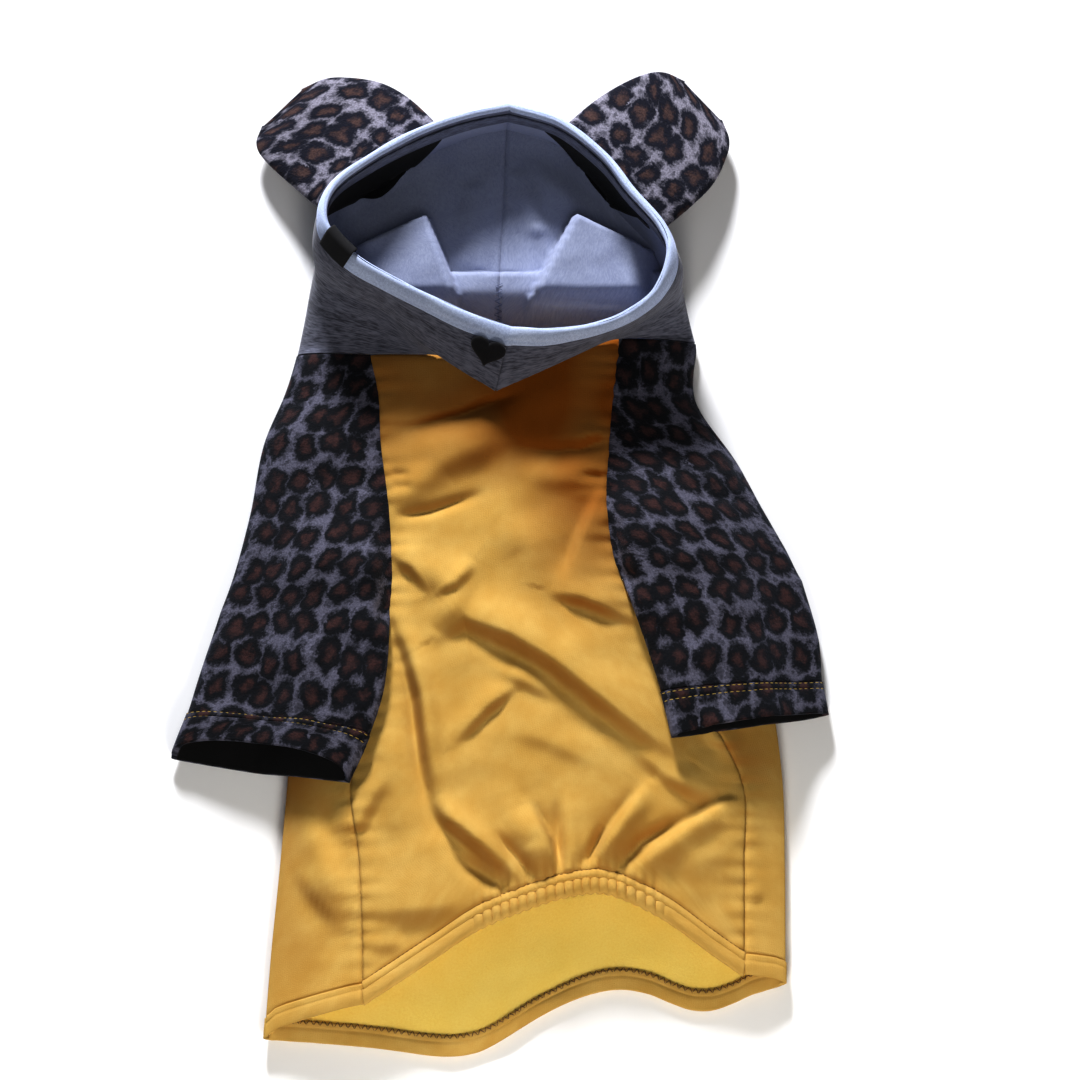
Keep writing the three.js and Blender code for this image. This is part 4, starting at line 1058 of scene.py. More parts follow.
def jersey_group():
    """Knitted face of sweatshirt cloth: fine ribs of loops, soft uneven tone, colour lighter where its fine fuzz stands
    high, and painted shade from its depth input.
    """
    tree, given = start_group("sweatshirt_knit", ["Color", "Shadow Color", "Painted Shade Color"], ["Depth"])
    place = given["Map"]
    across, along = split(place)
    loops = calc("SINE", across * (2 * math.pi / KNIT_COLUMN))
    rows = calc("SINE", along * (2 * math.pi / KNIT_ROW) + calc("ABSOLUTE", loops) * 1.4)
    knit = loops * 0.5 + rows * 0.35
    fuzz = noise_at(place, 1900, 2)
    broad = noise_at(place, 26, 3)
    patch = noise_at(place, 95, 4)
    fine = fuzz * 0.5 + knit * 0.04
    shade = ramp(broad * 0.55 + patch * 0.45 + fine * 0.55, 0.42, 1.02)
    face = blend(shade, given["Shadow Color"], given["Color"])
    # Painted shade: the deep colour laid over the knit where the depth input asks for it.
    color = blend(given["Depth"], face, given["Painted Shade Color"])
    return end_group(tree, color, knit * 0.12 + fuzz, ramp(patch, 0.2, 0.8, 0.82, 0.95))


def pile_group():
    """Brushed fleece: short tangled pile that catches light on its tips, with worn tufts."""
    tree, given = start_group("brushed_pile", ["Color", "Shadow Color"], ["Tuft Size"])
    place = given["Map"]
    per = calc("DIVIDE", 1.0, given["Tuft Size"])
    tufts = noise_at(place, per, 4, 0.65)
    hairs = noise_at(stretch(place, 1.0, 0.8), per * 3.0, 2)
    height = tufts * 0.7 + hairs * 0.5
    shade = ramp(height * 0.7 + noise_at(place, 45, 3) * 0.3, 0.38, 0.78)
    color = blend(shade, given["Shadow Color"], given["Color"])
    return end_group(tree, color, height, ramp(tufts, 0.3, 0.7, 0.88, 1.0))


def leopard_group():
    """Printed rosettes on fleece: dark broken rings with rust middles on a pale ground, edges blurred by the pile."""
    tree, given = start_group("leopard_print", ["Ground", "Ring", "Middle"], ["Spot Size"])
    place = given["Map"]
    scaled = vector_calc("SCALE", place, calc("DIVIDE", 1.0, given["Spot Size"]))

    # Cells pushed out of line by broad noise, and their edges frayed by fine noise
    moved = scaled
    for scale, detail, push in ((1.6, 2.0, 0.75), (12.0, 4.0, 0.34)):
        wander = noise_at(scaled, scale, detail, 0.5, "Color")
        centred = vector_calc("SUBTRACT", wander, (0.5, 0.5, 0.5))
        moved = vector_calc("ADD", moved, vector_calc("SCALE", centred, push))
    moved = stretch(moved, 1.0, 0.86, 0.0)

    # Rings with gaps, their middles, and small dots between them
    away = cell_distance(moved, 1.0, 0.36)
    lumps = noise_at(scaled, 2.4, 2)
    ring = ramp(away - (lumps * 0.18 + 0.42), -0.11, 0.11, 1, 0)
    middle = ramp(away - (lumps * 0.2 + 0.10), -0.12, 0.12, 1, 0)
    broken = ramp(noise_at(moved, 1.9, 1), 0.66, 0.78)
    dot = ramp(cell_distance(moved, 2.6, 0.9), 0.14, 0.34, 1, 0)
    dark = calc("MAXIMUM", ring * (1.0 - broken * ramp(away, 0.26, 0.4)), dot * 0.6)

    tufts = noise_at(place, 950, 3, 0.65)
    clumps = noise_at(place, 300, 3)
    color = blend(dark, given["Ground"], given["Ring"])
    color = blend(middle * ramp(clumps, 0.25, 0.6, 0.4, 1.0), color, given["Middle"])
    # Painted shade and highlight of the pile: darker where its tufts are low, lighter on their tips.
    color = shaded(color, ramp(tufts, 0.25, 0.8, 0.5, 1.15))
    return end_group(tree, color, tufts * 0.6 + clumps * 0.7, ramp(tufts, 0.3, 0.7, 0.88, 1.0))


def marl_group():
    """Heather knit: pale and dark fibres drawn out in streaks along the rows of loops."""
    tree, given = start_group("heather_marl", ["Pale", "Dark"])
    place = given["Map"]
    long = noise_at(stretch(place, 170, 800), 1.0, 3, 0.6)
    short = noise_at(stretch(place, 260, 1700), 1.0, 2)
    bands = noise_at(stretch(place, 16, 170), 1.0, 3)
    mixed = long * 0.5 + short * 0.25 + bands * 0.25
    color = blend(ramp(mixed, 0.36, 0.62), given["Dark"], given["Pale"])
    return end_group(tree, color, short + noise_at(place, 1700, 2) * 0.6, ramp(bands, 0.3, 0.7, 0.85, 0.95))


def thread_group():
    """Twisted thread: slanting plies along its length."""
    tree, given = start_group("twisted_thread", ["Color"])
    place = given["Map"]
    across, along = split(place)
    plies = calc("SINE", (across + along) * 9000)
    shade = ramp(plies * 0.1 + noise_at(place, 900, 2), 0.3, 0.7, 0.7, 1.0)
    return end_group(tree, shaded(given["Color"], shade), plies)


GROUPS = {
    "knit": jersey_group(), "pile": pile_group(), "leopard": leopard_group(), "marl": marl_group(),
    "thread": thread_group(),
}


def material(name, group, colours, bump, own_map=True, roughness=0.9, sheen=0.3, tint=(1, 1, 1, 1), specular=0.3):
    """Cloth material: a group's colour and height on one shader. The bump is its strength and its height in metres."""
    made = bpy.data.materials.new(name)
    made.use_nodes = True
    tree = made.node_tree
    shader = tree.nodes["Principled BSDF"].inputs
    for key, value in {"Roughness": roughness, "Sheen Weight": sheen, "Sheen Roughness": 0.55, "Sheen Tint": tint,
                       "Specular IOR Level": specular}.items():
        shader[key].default_value = value
    look = tree.nodes.new("ShaderNodeGroup")
    look.node_tree = GROUPS[group]
    if own_map:
        feed(look.inputs["Map"], Wire(add(tree, "UVMap", uv_map="cloth").outputs["UV"]))
    else:
        feed(look.inputs["Map"], Wire(add(tree, "TexCoord").outputs["Object"]))
    for key, value in colours.items():
        look.inputs[key].default_value = value
    # The depth attribute lays painted shade on through the deep colour.
    if "Painted Shade Color" in colours:
        feed(look.inputs["Depth"], Wire(add(tree, "Attribute", attribute_name="depth").outputs["Fac"]))
    feed(shader["Base Color"], Wire(look.outputs["Color"]))
    if "Roughness" in look.outputs:
        feed(shader["Roughness"], Wire(look.outputs["Roughness"]))
    strength, distance = bump
    dent = add(tree, "Bump", {"Strength": strength, "Distance": distance, "Height": Wire(look.outputs["Height"])})
    feed(shader["Normal"], Wire(dent.outputs["Normal"]))
    return made


# The deep colour is painted shade, laid on where the depth attribute asks.
MUSTARD = material("mustard_sweatshirt", "knit", {"Color": rgb(212, 180, 108), "Shadow Color": rgb(194, 154, 78),
                                                 "Painted Shade Color": rgb(138, 76, 14)},
                   (0.5, 0.00035), tint=rgb(255, 225, 160), sheen=0.08, specular=0.12)
MUSTARD_EDGE = material("mustard_cut_edge", "pile",
                        {"Color": rgb(126, 72, 18), "Shadow Color": rgb(92, 48, 8), "Tuft Size": 0.0008}, (0.4, 0.0004))
# Its colour is partly the brushed inside's own yellower tone and partly painted light, raised for the inside that shows
# below the belly hem.
MUSTARD_INSIDE = material("mustard_brushed_inside", "pile",
                          {"Color": rgb(255, 228, 130), "Shadow Color": rgb(246, 212, 104), "Tuft Size": 0.0012},
                          (0.5, 0.0005), tint=rgb(255, 235, 170), sheen=0.2)
# Sleeves and ears are one leopard fleece; the sleeves' copy has a darker ground, rings and middles than the ears' copy,
# painted shade on the sleeves.
LEOPARD = material("leopard_fleece", "leopard",
                   {"Ground": rgb(104, 103, 120), "Ring": rgb(6, 8, 16), "Middle": rgb(70, 44, 42),
                    "Spot Size": 0.0135}, (0.7, 0.0011), sheen=0.06, tint=rgb(170, 190, 230))
LEOPARD_EAR = material("leopard_fleece_ears", "leopard",
                       {"Ground": rgb(150, 147, 162), "Ring": rgb(20, 22, 38), "Middle": rgb(88, 66, 62),
                        "Spot Size": 0.0135}, (0.7, 0.0011), sheen=0.06, tint=rgb(200, 200, 230))
BLACK_LINING = material("black_lining", "pile",
                        {"Color": rgb(20, 20, 22), "Shadow Color": rgb(5, 5, 6), "Tuft Size": 0.0015},
                        (0.5, 0.0006), sheen=0.03)
HEATHER = material("heather_sweatshirt", "marl", {"Pale": rgb(108, 110, 126), "Dark": rgb(46, 47, 60)},
                   (0.5, 0.0003), sheen=0.15)
GREY_INSIDE = material("grey_brushed_inside", "pile",
                       {"Color": rgb(162, 169, 192), "Shadow Color": rgb(136, 143, 170), "Tuft Size": 0.0011},
                       (0.35, 0.0003), tint=rgb(225, 230, 255), sheen=0.25)
GREY_RIM = material("brushed_grey", "pile",
                    {"Color": rgb(202, 214, 240), "Shadow Color": rgb(150, 162, 194), "Tuft Size": 0.0011},
                    (0.45, 0.0004), tint=rgb(225, 230, 255), sheen=0.25)
GREY_FACING = material("grey_facing", "marl", {"Pale": rgb(112, 118, 142), "Dark": rgb(62, 66, 86)},
                       (0.5, 0.0003), sheen=0.1)
SATIN = material("black_satin", "knit", {"Color": rgb(26, 26, 30), "Shadow Color": rgb(14, 14, 18)},
                 (0.2, 0.0001), roughness=0.35, sheen=0.0, specular=0.5)
FELT = material("black_felt", "pile", {"Color": rgb(22, 22, 28), "Shadow Color": rgb(8, 8, 12), "Tuft Size": 0.001},
                (0.6, 0.0004), own_map=False, sheen=0.08)
YELLOW_THREAD = material("ochre_thread", "thread", {"Color": rgb(190, 160, 72)}, (0.4, 0.0001), own_map=False,
                         roughness=0.6, sheen=0.1)
# Darker than the cloth it is sewn with: painted shade of the sunken casing stitch rows.
MUSTARD_THREAD = material("mustard_thread", "thread", {"Color": rgb(136, 92, 26)}, (0.4, 0.0001), own_map=False,
                          roughness=0.6, sheen=0.1)
BROWN_THREAD = material("brown_overlock_thread", "thread", {"Color": rgb(112, 72, 40)}, (0.4, 0.0001),
                        own_map=False, roughness=0.6, sheen=0.1)
GREY_THREAD = material("grey_overlock_thread", "thread", {"Color": rgb(118, 126, 156)}, (0.4, 0.0001),
                       own_map=False, roughness=0.6, sheen=0.1)


# Pieces
def belly_surface(u, y):
    """Belly cloth with its gathers above the casing and its puckered seams."""
    place = belly_point(u, y)
    hem = edge_y(BELLY_HEM, u) + HEM_DEPTH
    place.z += gather(u, max(0.0, y - hem)) * step(y - hem, -2, 3)
    left = place.x - seam_x(-1, y)
    right = seam_x(1, y) - place.x
    place.z += pucker(y, left, 1.0) + pucker(y, right, 4.0)
    place.z -= 1.1 * bell(y - hem, 1.6)
    place.z -= 0.8 * (1 - step(edge_y(NECK_EDGE, u) - y, 0.0, 3.0))
    return place


def back_surface(u, y):
    """Back cloth, wrapped round both sides, with puckered seams and a soft uneven lie."""
    place = back_point(u, y)
    over = place.z > CLOTH / 2 + FOLD_RADIUS * 0.5
    if share_down(y) > ARMPIT * SLEEVE_LENGTH / BODY_LENGTH and over:
        left = abs(place.x - seam_x(-1, y))
        right = abs(place.x - seam_x(1, y))
        place.z += pucker(y, left, 1.0) + pucker(y, right, 4.0)
    if not over:
        open_part = step(edge_y(BELLY_HEM, clamp((place.x + 68) / 186)) - y, -30, 10)
        lie = 1.6 * rough(place.x, y, 40, 6.0) + 0.4 * rough(place.x, y, 12, 2)
        place.z += max(-0.3, lie * open_part)
    return place


# Stitch rows as shares of a hem's depth: the belly casing's and back hem's inner row, and the cuffs' two rows
CASING_STITCH = 0.31
CUFF_STITCHES = (0.06, 0.24)


def hem_surface(u, v):
    """Belly casing: a turned hem with an elastic inside, rippled where it is gathered."""
    place = belly_point(u, edge_y(BELLY_HEM, u) + HEM_DEPTH * (1 - v))
    pull, share, drift = gathered(u)
    ripple = math.cos(2 * math.pi * GATHERS * share + drift)
    swell = math.sin(math.pi * clamp((v - 0.32) / 0.68))
    place.z += pull * (1.0 + 0.5 * noise.noise(Vector((share * 11, 7.0, 0)))) * ripple * (0.3 + 0.7 * swell)
    place.y += pull * 0.5 * ripple * v
    place.z += 0.7 * swell + 0.5 * math.sin(math.pi * clamp(v / 0.3)) - 0.7 * bell(v - CASING_STITCH, 0.06)
    place.z -= 0.9 * bell(v, 0.05) + 0.8 * bell(1 - v, 0.06)
    return place


def back_hem_surface(u, v):
    """Turned hem of the back panel."""
    place = back_surface(u, edge_y(BACK_HEM, u) + HEM_DEPTH * (1 - v))
    place.z += (HEM - CLOTH) / 2 + 0.5 * math.sin(math.pi * v) - 0.5 * bell(v - CASING_STITCH, 0.07)
    place.z += 0.35 * noise.noise(Vector((u * 30, v * 2, 1.0)))
    return place


def belly_painted_shade(place, slope):
    """Share of painted shade on the belly: darker on the undersides of folds, and painted shadow of the hood beneath
    the chin and over its upper right.
    """
    under = clamp(1.05 * (slope - 0.10), 0, 0.62)
    down = share_down(place.y)
    uneven = 0.95 + 0.3 * noise.noise(Vector((place.x / 30, place.y / 22, 5.0)))
    chin = mix(0.7, 1.1, step(place.x, -25, 12)) * (1 - step(down, 0.09, 0.26)) * uneven
    right = 0.95 * step(place.x, -10, 45) * (1 - step(down, 0.16, 0.46)) * uneven
    return clamp(under + max(chin, right), 0, 1)


def back_painted_shade(place, slope):
    """Share of painted shade on the back panel: darker on the undersides of its folds and beneath the sleeves that lie
    over the sides, and darker towards its left side.
    """
    uneven = 0.5 + 0.6 * rough(place.x, place.y, 30, 8.0)
    beneath = 0.5 * (1 - step(share_down(place.y), 0.62, 0.76)) * uneven
    side = 0.4 * (1 - step(place.x, -0.40 * BODY_WIDTH, -0.24 * BODY_WIDTH)) * (0.6 + 0.4 * uneven)
    return clamp(1.2 * (slope - 0.14) + beneath + side, 0, 0.8)


def panel_y(hem, overlap, u, v):
    """Place along the body at a share of a panel, which ends a little below the top of its hem."""
    return mix(edge_y(NECK_EDGE, u), edge_y(hem, u) + HEM_DEPTH - overlap, v)


back_panel = cloth("back_panel_cloth", lambda u, v: back_surface(u, panel_y(BACK_HEM, 0.4, u, v)),
                   150, 150, CLOTH, MUSTARD, MUSTARD_INSIDE, paint_shade=back_painted_shade)
back_hem = cloth("back_hem_turned", back_hem_surface, 220, 12, HEM, MUSTARD, MUSTARD)
belly_panel = cloth("belly_panel_cloth", lambda u, v: belly_surface(u, panel_y(BELLY_HEM, 0.3, u, v)),
                    150, 210, CLOTH, MUSTARD, MUSTARD_INSIDE, edges=MUSTARD_EDGE, flip=True, paint_shade=belly_painted_shade)
belly_hem = cloth("belly_hem_casing", hem_surface, 300, 16, HEM, MUSTARD, MUSTARD, flip=True)


def cuff_start(sleeve):
    """Share of a sleeve's length at which its turned hem begins."""
    return 1 - CUFF_DEPTH / (SLEEVE_LENGTH * sleeve["lay"])


def lipped(sleeve, place, u, v):
    """Mouth of a sleeve: the upper side draws back from the lower one, so that the lining shows."""
    upper = 1 - abs(2 * u - 1)
    away = step(v, 0.84, 1.0) * math.sin(math.pi * upper) ** 0.7 if u < 0.5 else 0.0
    place.y += sleeve["lip"] * away
    return place


def sleeve_surface(sleeve, u, v):
    """Sleeve with a puckered front seam and an open mouth."""
    place = lipped(sleeve, sleeve_point(sleeve, u, v), u, v)
    if v < ARMPIT and u < 0.5:
        gap = u * 2 * SLEEVE_WIDTH * read(sleeve["rows"], "width", v)
        place.z += pucker(place.y, gap, 2.0 + sleeve["out"])
    return place


def cuff_surface(sleeve, u, v):
    """Turned sleeve hem, a little thicker, with two sunken stitch rows."""
    u = u % 1.0
    at = mix(cuff_start(sleeve) - 0.004, 1, v)
    place = lipped(sleeve, sleeve_point(sleeve, u, at), u, at)
    sunk = sum(0.5 * bell(v - row, 0.035) for row in CUFF_STITCHES)
    swell = 0.35 * math.sin(math.pi * v)
    place.z += (CUFF - FLEECE) / 2 + (swell - sunk if u < 0.5 else 0)
    return place


sleeve_pieces = []
cuff_pieces = []
for sleeve in SLEEVES:
    sleeve_pieces.append(cloth(
        f"sleeve_{sleeve['name']}_fleece", lambda u, v, s=sleeve: sleeve_surface(s, u, v),
        128, 110, FLEECE, LEOPARD, BLACK_LINING, end=cuff_start(sleeve), closed=True, flip=sleeve["out"] > 0))
    cuff_pieces.append(cloth(
        f"cuff_{sleeve['name']}_turned", lambda u, v, s=sleeve: cuff_surface(s, u, v),
        144, 22, CUFF, LEOPARD, BLACK_LINING, closed=True, flip=sleeve["out"] > 0))

hood_pieces = [
    cloth(f"hood_{side['name']}_shell", lambda u, v, i=index: hood_half(i, u, mix(rim_share(i, u), 1, v)),
          130, 120, CLOTH, HEATHER, GREY_INSIDE, flip=side["out"] > 0)
    for index, side in enumerate(HOOD)
]


def open_slot(piece, index):
    """Opens the slot behind an ear: cloth inside the slot's outline is taken out and its edge drawn to the outline."""
    ear = EARS[index]
    _, forth, across = ear_frame(ear)
    bm = bmesh.new()
    bm.from_mesh(piece.data)
    size = {}
    for vert in bm.verts:
        place = vert.co / MM
        size[vert] = in_slot(ear, place)
        if size[vert][0] < 1.6:
            reach = wall_distance(index, place, forth)
            if reach is None or abs(reach) > OFF_WALL:
                size[vert] = OUTSIDE_SLOT
    gone = [face for face in bm.faces if all(size[vert][0] < 1 for vert in face.verts)]
    edge = {vert for face in gone for vert in face.verts}
    bmesh.ops.delete(bm, geom=gone, context="FACES")
    for vert in [vert for vert in edge if vert.is_valid]:
        share, wide, high = size[vert]
        if share > 0.3:
            grow = (1 / share - 1) * MM
            vert.co += across * (wide * grow) + Vector((0, 0, high * grow))
    bm.to_mesh(piece.data)
    bm.free()


# Steps round the rim, its length and girth in metres for the map, and its frame at each step
RIM_AROUND = 360
RIM_LENGTH = 0.42
RIM_GIRTH = 0.03
rim_frames = [rim_loop(i / RIM_AROUND) for i in range(RIM_AROUND)]


def hollow_loop(name, point, around, turns, *looks):
    """A closed ring of sections, such as a rolled edge."""
    bm = bmesh.new()
    bmesh.ops.create_grid(bm, x_segments=around, y_segments=turns, size=0.5)
    layer = bm.loops.layers.uv.new("cloth")
    for face in bm.faces:
        face.smooth = True
        for loop in face.loops:
            loop[layer].uv = ((loop.vert.co.x + 0.5) * RIM_LENGTH, (loop.vert.co.y + 0.5) * RIM_GIRTH)
    for vert in bm.verts:
        vert.co = point(vert.co.x + 0.5, vert.co.y + 0.5) * MM
    bmesh.ops.remove_doubles(bm, verts=bm.verts, dist=1e-6)
    bmesh.ops.recalc_face_normals(bm, faces=bm.faces)
    return place_mesh(name, bm, *looks)


def rim_surface(u, v):
    """Rolled rim: a soft round edge over a flatter turned hem, uneven along its length."""
    turn = 2 * math.pi * v
    half_deep = RIM_DEPTH / 2
    deep = half_deep - half_deep * squared_off(math.cos(turn), 0.8)
    wide = RIM_WALL / 2 * squared_off(math.sin(turn), 0.7)
    roll = 1 - 0.35 * step(deep, 5.0, 9.0)
    unrest = noise.noise(Vector((math.cos(2 * math.pi * u) * 4, math.sin(2 * math.pi * u) * 4, v))) * 0.6
    wide = wide * roll + unrest * (1 if wide > 0 else -1) * 0.6
    stitched_in = 0.6 * bell(deep - 7.2, 0.7)
    wide -= math.copysign(stitched_in, wide) if abs(wide) > 0.8 else 0
    return rim_point(rim_frames[round(u * RIM_AROUND) % RIM_AROUND], deep - unrest * 0.5, wide)


hood_rim = hollow_loop("hood_rim_rolled", rim_surface, RIM_AROUND, 36, GREY_RIM, GREY_FACING)

# The rim's inner side below the roll is facing
rim_map = hood_rim.data.uv_layers["cloth"].data
for face in hood_rim.data.polygons:
    along = rim_map[face.loop_start].uv[0] / RIM_LENGTH
    place, down, outward = rim_frames[round(along * RIM_AROUND) % RIM_AROUND]
    off = face.center / MM - place
    if off.dot(outward) < -0.3 and off.dot(down) > 2.4:
        face.material_index = 1

ear_pieces = []
for index, ear in enumerate(EARS):
    open_slot(hood_pieces[index], index)
    ear_pieces.append(cloth(
        f"ear_{ear['name']}_fleece", lambda u, v, i=index, e=ear: ear_point(i, e, u, v),
        96, 70, FLEECE, LEOPARD_EAR, BLACK_LINING, closed=True))


def inner_strip(name, index, ends, start, width, bulge, lift, look, wall, uneven):
    """Strip of cloth on the inside of a hood half, between two shares of the rim's length.

    It starts at a share of the rim's depth. Its width, a share of the ribs, grows by a bulge in the middle."""
    middle = Vector((0, HOOD_Y, 25))

    def surface(u, v):
        a = mix(ends[0], ends[1], u)
        smooth = width + bulge * math.sin(math.pi * u) ** 0.7
        wide = smooth * (1 + uneven * noise.noise(Vector((u * 4, index, 3.0))))
        s = rim_share(index, a) * start + wide * v
        place = hood_half(index, a, s)
        along = hood_half(index, min(1, a + 0.01), s) - hood_half(index, max(0, a - 0.01), s)
        down = hood_half(index, a, s + 0.01) - hood_half(index, a, max(0, s - 0.01))
        inward = along.cross(down).normalized()
        if inward.dot(middle - place) < 0:
            inward = -inward
        return place + inward * lift

    return cloth(name, surface, 90, 10, wall, look, look)


facings = [
    inner_strip(f"rim_facing_{HOOD[index]['name']}", index, (0.42, 1.0), 0.55, 0.10, 0.0, RIM_WALL / 2 + 0.7,
                GREY_FACING, 0.9, 0.15)
    for index in (0, 1)
]
slot_linings = [
    inner_strip(f"ear_lining_{HOOD[index]['name']}", index, ends, 1.25, 0.015, bulge, CLOTH / 2 + 1.3,
                BLACK_LINING, 1.4, 0.2)
    for index, ends, bulge in ((0, (0.55, 0.88), 0.30), (1, (0.70, 0.95), 0.27))
]

# Label folded over the rim, its middle a share of the rim's left side
TAB_MIDDLE = 0.435
TAB_SHARE = TAB_WIDTH / running_lengths([rim_frame(0, a)[0] for a in spaced(20)])[-1]


def tab_surface(u, v):
    """Tab: down the rim's inside, over its edge and further down its outside."""
    edge = rim_frame(0, TAB_MIDDLE + (u - 0.5) * TAB_SHARE)
    lift = RIM_WALL / 2 + 0.9
    turn = clamp((v - 0.35) / 0.3) * math.pi
    inner = 5 * clamp(0.35 - v) / 0.35
    outer = 8 * clamp(v - 0.65) / 0.35
    deep = inner + outer + lift * 0.25 - lift * 0.9 * math.sin(turn)
    return rim_point(edge, deep, -lift * math.cos(turn))


label_tab = cloth("label_tab_satin", tab_surface, 20, 40, 0.8, SATIN, SATIN)

# Middle of the badge: a share of the rim's length beside the chin seam, and a share of the ribs there
BADGE_ASIDE = 0.036
BADGE_DOWN = 0.52 * WALL_SHARE


def heart(turn):
    """Outline of the badge."""
    x = 0.5 * math.sin(turn) ** 3
    y = (13 * math.cos(turn) - 5 * math.cos(2 * turn) - 2 * math.cos(3 * turn) - math.cos(4 * turn)) / 29
    return x, y + 0.08


def badge_surface(u, v):
    """Badge: rings of a heart drawn in to its middle, domed at the edge, on the hood's wall at the chin."""
    x, y = heart(2 * math.pi * u)
    place = hood_point(0, BADGE_ASIDE, BADGE_DOWN)
    up = hood_point(0, BADGE_ASIDE, BADGE_DOWN - 0.03) - hood_point(0, BADGE_ASIDE, BADGE_DOWN + 0.03)
    up.normalize()
    outward = (hood_point(0, 0, BADGE_DOWN) - hood_point(0, 2 * BADGE_ASIDE, BADGE_DOWN)).cross(up).normalized()
    right = up.cross(outward)
    lift = CLOTH / 2 + LAY_GAP + 0.6 - 0.5 * v ** 8
    return place + right * (x * v * BADGE_WIDTH) + up * (y * v * BADGE_HEIGHT) + outward * lift


chin_badge = cloth("chin_badge_felt", badge_surface, 64, 14, 1.1, FELT, FELT, closed=True)


# Stitches
STITCH_WIDTH = 0.5
STITCH_HEIGHT = 0.3
CASING_LIFT = HEM / 2 + 0.12
CUFF_LIFT = CUFF / 2 + 0.1


def run_on(surface, track, lift, count=240):
    """Points a little above a track of (u, v) on a surface, and the upward normals there."""
    points = []
    normals = []
    for k in range(count + 1):
        u, v = track(k / count)
        across = surface(u + 0.002, v) - surface(u - 0.002, v)
        along = surface(u, v + 0.004) - surface(u, v - 0.004)
        out = across.cross(along).normalized()
        if out.z <= 0:
            out = -out
        points.append(surface(u, v) + out * lift)
        normals.append(out)
    return points, normals


def running_stitches(points, normals, pitch, length):
    """Stitches one behind another: the place, the way along, the normal and the length of each."""
    lengths = running_lengths(points)
    count = max(1, int(lengths[-1] / pitch))
    for k in range(count):
        i, part = stretch_at(lengths, (k + 0.5) * lengths[-1] / count)
        forth = (points[i + 1] - points[i]).normalized()
        yield points[i].lerp(points[i + 1], part), forth, normals[i].lerp(normals[i + 1], part).normalized(), length


def slanting_stitches(points, normals, pitch, reach):
    """Overlock stitches that slant to and fro over an edge, told like the running ones."""
    lengths = running_lengths(points)
    for n in range(int(lengths[-1] / pitch)):
        i, _ = stretch_at(lengths, n * pitch)
        forth = (points[i + 1] - points[i]).normalized()
        side = normals[i].cross(forth).normalized()
        slant = side * reach * (1 if n % 2 else -1) + forth * pitch * 0.45
        yield points[i], slant.normalized(), normals[i], reach * 2.4


def stitched(name, look, stitches):
    """One object of stitches, each a small flat bead pressed into the cloth."""
    bm = bmesh.new()
    for place, forth, out, length in stitches:
        side = out.cross(forth).normalized()
        shape = Matrix((forth * length, side * STITCH_WIDTH, forth.cross(side) * STITCH_HEIGHT)).transposed().to_4x4()
        shape.translation = place
        bmesh.ops.create_uvsphere(bm, u_segments=6, v_segments=4, radius=0.5, matrix=Matrix.Scale(MM, 4) @ shape)
    for face in bm.faces:
        face.smooth = True
    return place_mesh(name, bm, look)


casing_stitches = stitched("casing_stitches", MUSTARD_THREAD, [
    stitch for row in (CASING_STITCH, 0.04)
    for stitch in running_stitches(
        *run_on(hem_surface, lambda t, v=row: (mix(0.01, 0.99, t), v), CASING_LIFT, 700), 2.6, 1.8)
])
cuff_stitches = stitched("cuff_stitches", YELLOW_THREAD, [
    stitch for sleeve in SLEEVES for row in CUFF_STITCHES
    for stitch in running_stitches(
        *run_on(lambda u, v, s=sleeve: cuff_surface(s, u, v), lambda t, v=row: (mix(0.02, 0.48, t), v), CUFF_LIFT),
        3.0, 2.3)
])


def inner_edge(t):
    """Inner edge of the back hem, along the part that shows below the belly."""
    return mix(0.235, 0.85, t), 0.06


def seam_of_hood(u, v):
    """Both hood halves beside their back seam, u across it and v down it."""
    index, a = (0, 1 + u) if u < 0 else (1, 1 - u)
    return hood_half(index, a, v)


hem_overlock = stitched("back_hem_overlock", BROWN_THREAD, slanting_stitches(
    *run_on(back_hem_surface, inner_edge, HEM / 2 + 0.3, 500), 1.7, 1.3))
seam_overlock = stitched("hood_seam_overlock", GREY_THREAD, slanting_stitches(
    *run_on(seam_of_hood, lambda t: (-0.001, mix(0.80, 0.985, t)), CLOTH / 2 + 0.6, 500), 1.9, 1.9))

# What each piece stands for
GROWN = [
    (back_panel, "back_panel", "mustard_sweatshirt"), (back_hem, "back_hem", "mustard_sweatshirt"),
    (belly_panel, "belly_panel", "mustard_sweatshirt"), (belly_hem, "belly_hem", "mustard_sweatshirt"),
    (sleeve_pieces[0], "sleeve_left", "leopard_fleece"), (sleeve_pieces[1], "sleeve_right", "leopard_fleece"),
    (cuff_pieces[0], "cuff_left", "leopard_fleece"), (cuff_pieces[1], "cuff_right", "leopard_fleece"),
    (hood_pieces[0], "hood_left", "heather_sweatshirt"), (hood_pieces[1], "hood_right", "heather_sweatshirt"),
    (hood_rim, "hood_rim", "brushed_grey"),
    (ear_pieces[0], "ear_left", "leopard_fleece"), (ear_pieces[1], "ear_right", "leopard_fleece"),
    (label_tab, "label_tab", "black_satin"), (chin_badge, "chin_badge", "black_felt"),
]
for piece, node, slot in GROWN:
    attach(piece, "root")
    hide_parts(node)
for piece in (casing_stitches, cuff_stitches, hem_overlock, seam_overlock, *facings, *slot_linings):
    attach(piece, "root")

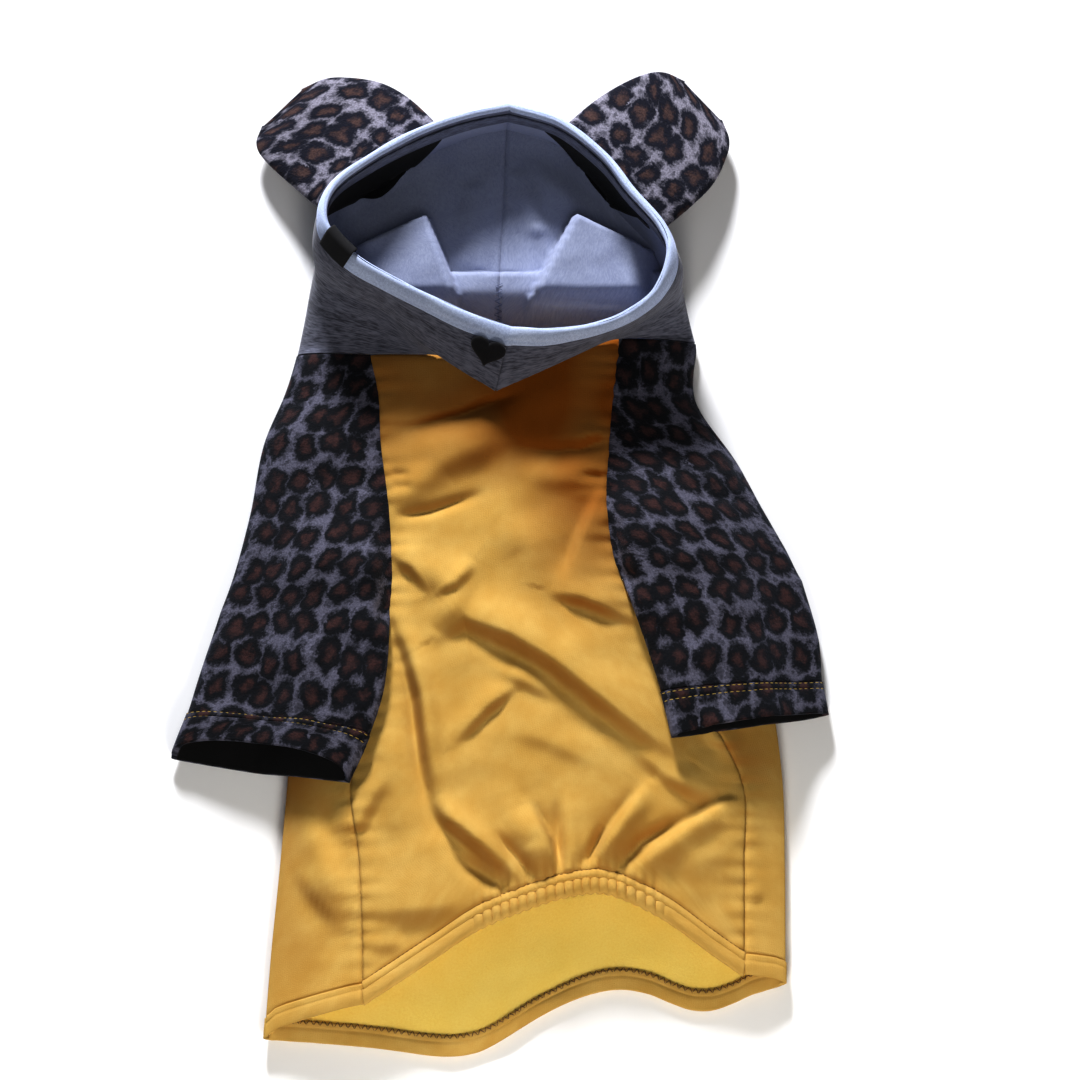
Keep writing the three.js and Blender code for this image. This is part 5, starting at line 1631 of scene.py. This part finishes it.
# Floor, camera and soft studio light
bm = bmesh.new()
bmesh.ops.create_grid(bm, x_segments=1, y_segments=1, size=4)
pale = bpy.data.materials.new("pale_floor")
pale.use_nodes = True
pale_shader = pale.node_tree.nodes["Principled BSDF"].inputs
pale_shader["Base Color"].default_value = (0.97, 0.97, 0.98, 1)
pale_shader["Roughness"].default_value = 0.9
pale_shader["Specular IOR Level"].default_value = 0.1
floor = place_mesh("floor", bm, pale)
floor.location.z = -0.0004


def look_from(spot, aim):
    """Turn that looks from a spot towards another."""
    return (Vector(aim) - Vector(spot)).to_track_quat("-Z", "Y").to_euler()


# The photo's camera: the point it looks at, its distance, its angle above the floor and half the picture's width
AIM = Vector((0.02025, 0.012, 0.0))
DISTANCE = 4.0
TILT = math.radians(80)
HALF_PICTURE = 0.27
camera_data = bpy.data.cameras.new("photo_camera")
camera = bpy.data.objects.new("photo_camera", camera_data)
bpy.context.scene.collection.objects.link(camera)
camera.location = AIM + DISTANCE * Vector((0, -math.cos(TILT), math.sin(TILT)))
camera.rotation_euler = look_from(camera.location, AIM)
camera_data.angle = 2 * math.atan(HALF_PICTURE / DISTANCE)
camera_data.dof.use_dof = False
bpy.context.scene.camera = camera


def area_light(name, spot, aim, power, size, colour):
    """Round lamp at a spot that shines towards another."""
    data = bpy.data.lights.new(name, "AREA")
    data.energy = power
    data.shape = "DISK"
    data.size = size
    data.color = colour
    lamp = bpy.data.objects.new(name, data)
    lamp.location = spot
    lamp.rotation_euler = look_from(spot, aim)
    bpy.context.scene.collection.objects.link(lamp)
    return lamp


lamps = [
    area_light("window_light", (-0.30, 1.85, 0.86), (0.02, -0.02, 0), 84, 0.36, (0.96, 0.97, 1.0)),
    area_light("soft_top_light", (0.1, -0.7, 2.2), (0, -0.1, 0), 7, 0.9, (1.0, 0.98, 0.95)),
    area_light("warm_low_light", (1.2, -1.1, 0.7), (0, -0.05, 0), 2.6, 0.8, (1.0, 0.88, 0.72)),
    area_light("hem_light", (0.05, -0.55, 0.32), (0.04, -0.19, 0), 1.7, 0.2, (1.0, 0.96, 0.88)),
]

world = bpy.data.worlds.new("pale_room")
world.use_nodes = True
sky = world.node_tree.nodes["Background"]
sky.inputs["Color"].default_value = (0.92, 0.95, 1.0, 1)
sky.inputs["Strength"].default_value = 0.11
bpy.context.scene.world = world
bpy.context.scene.view_settings.view_transform = "Standard"
bpy.context.scene.view_settings.gamma = 0.8
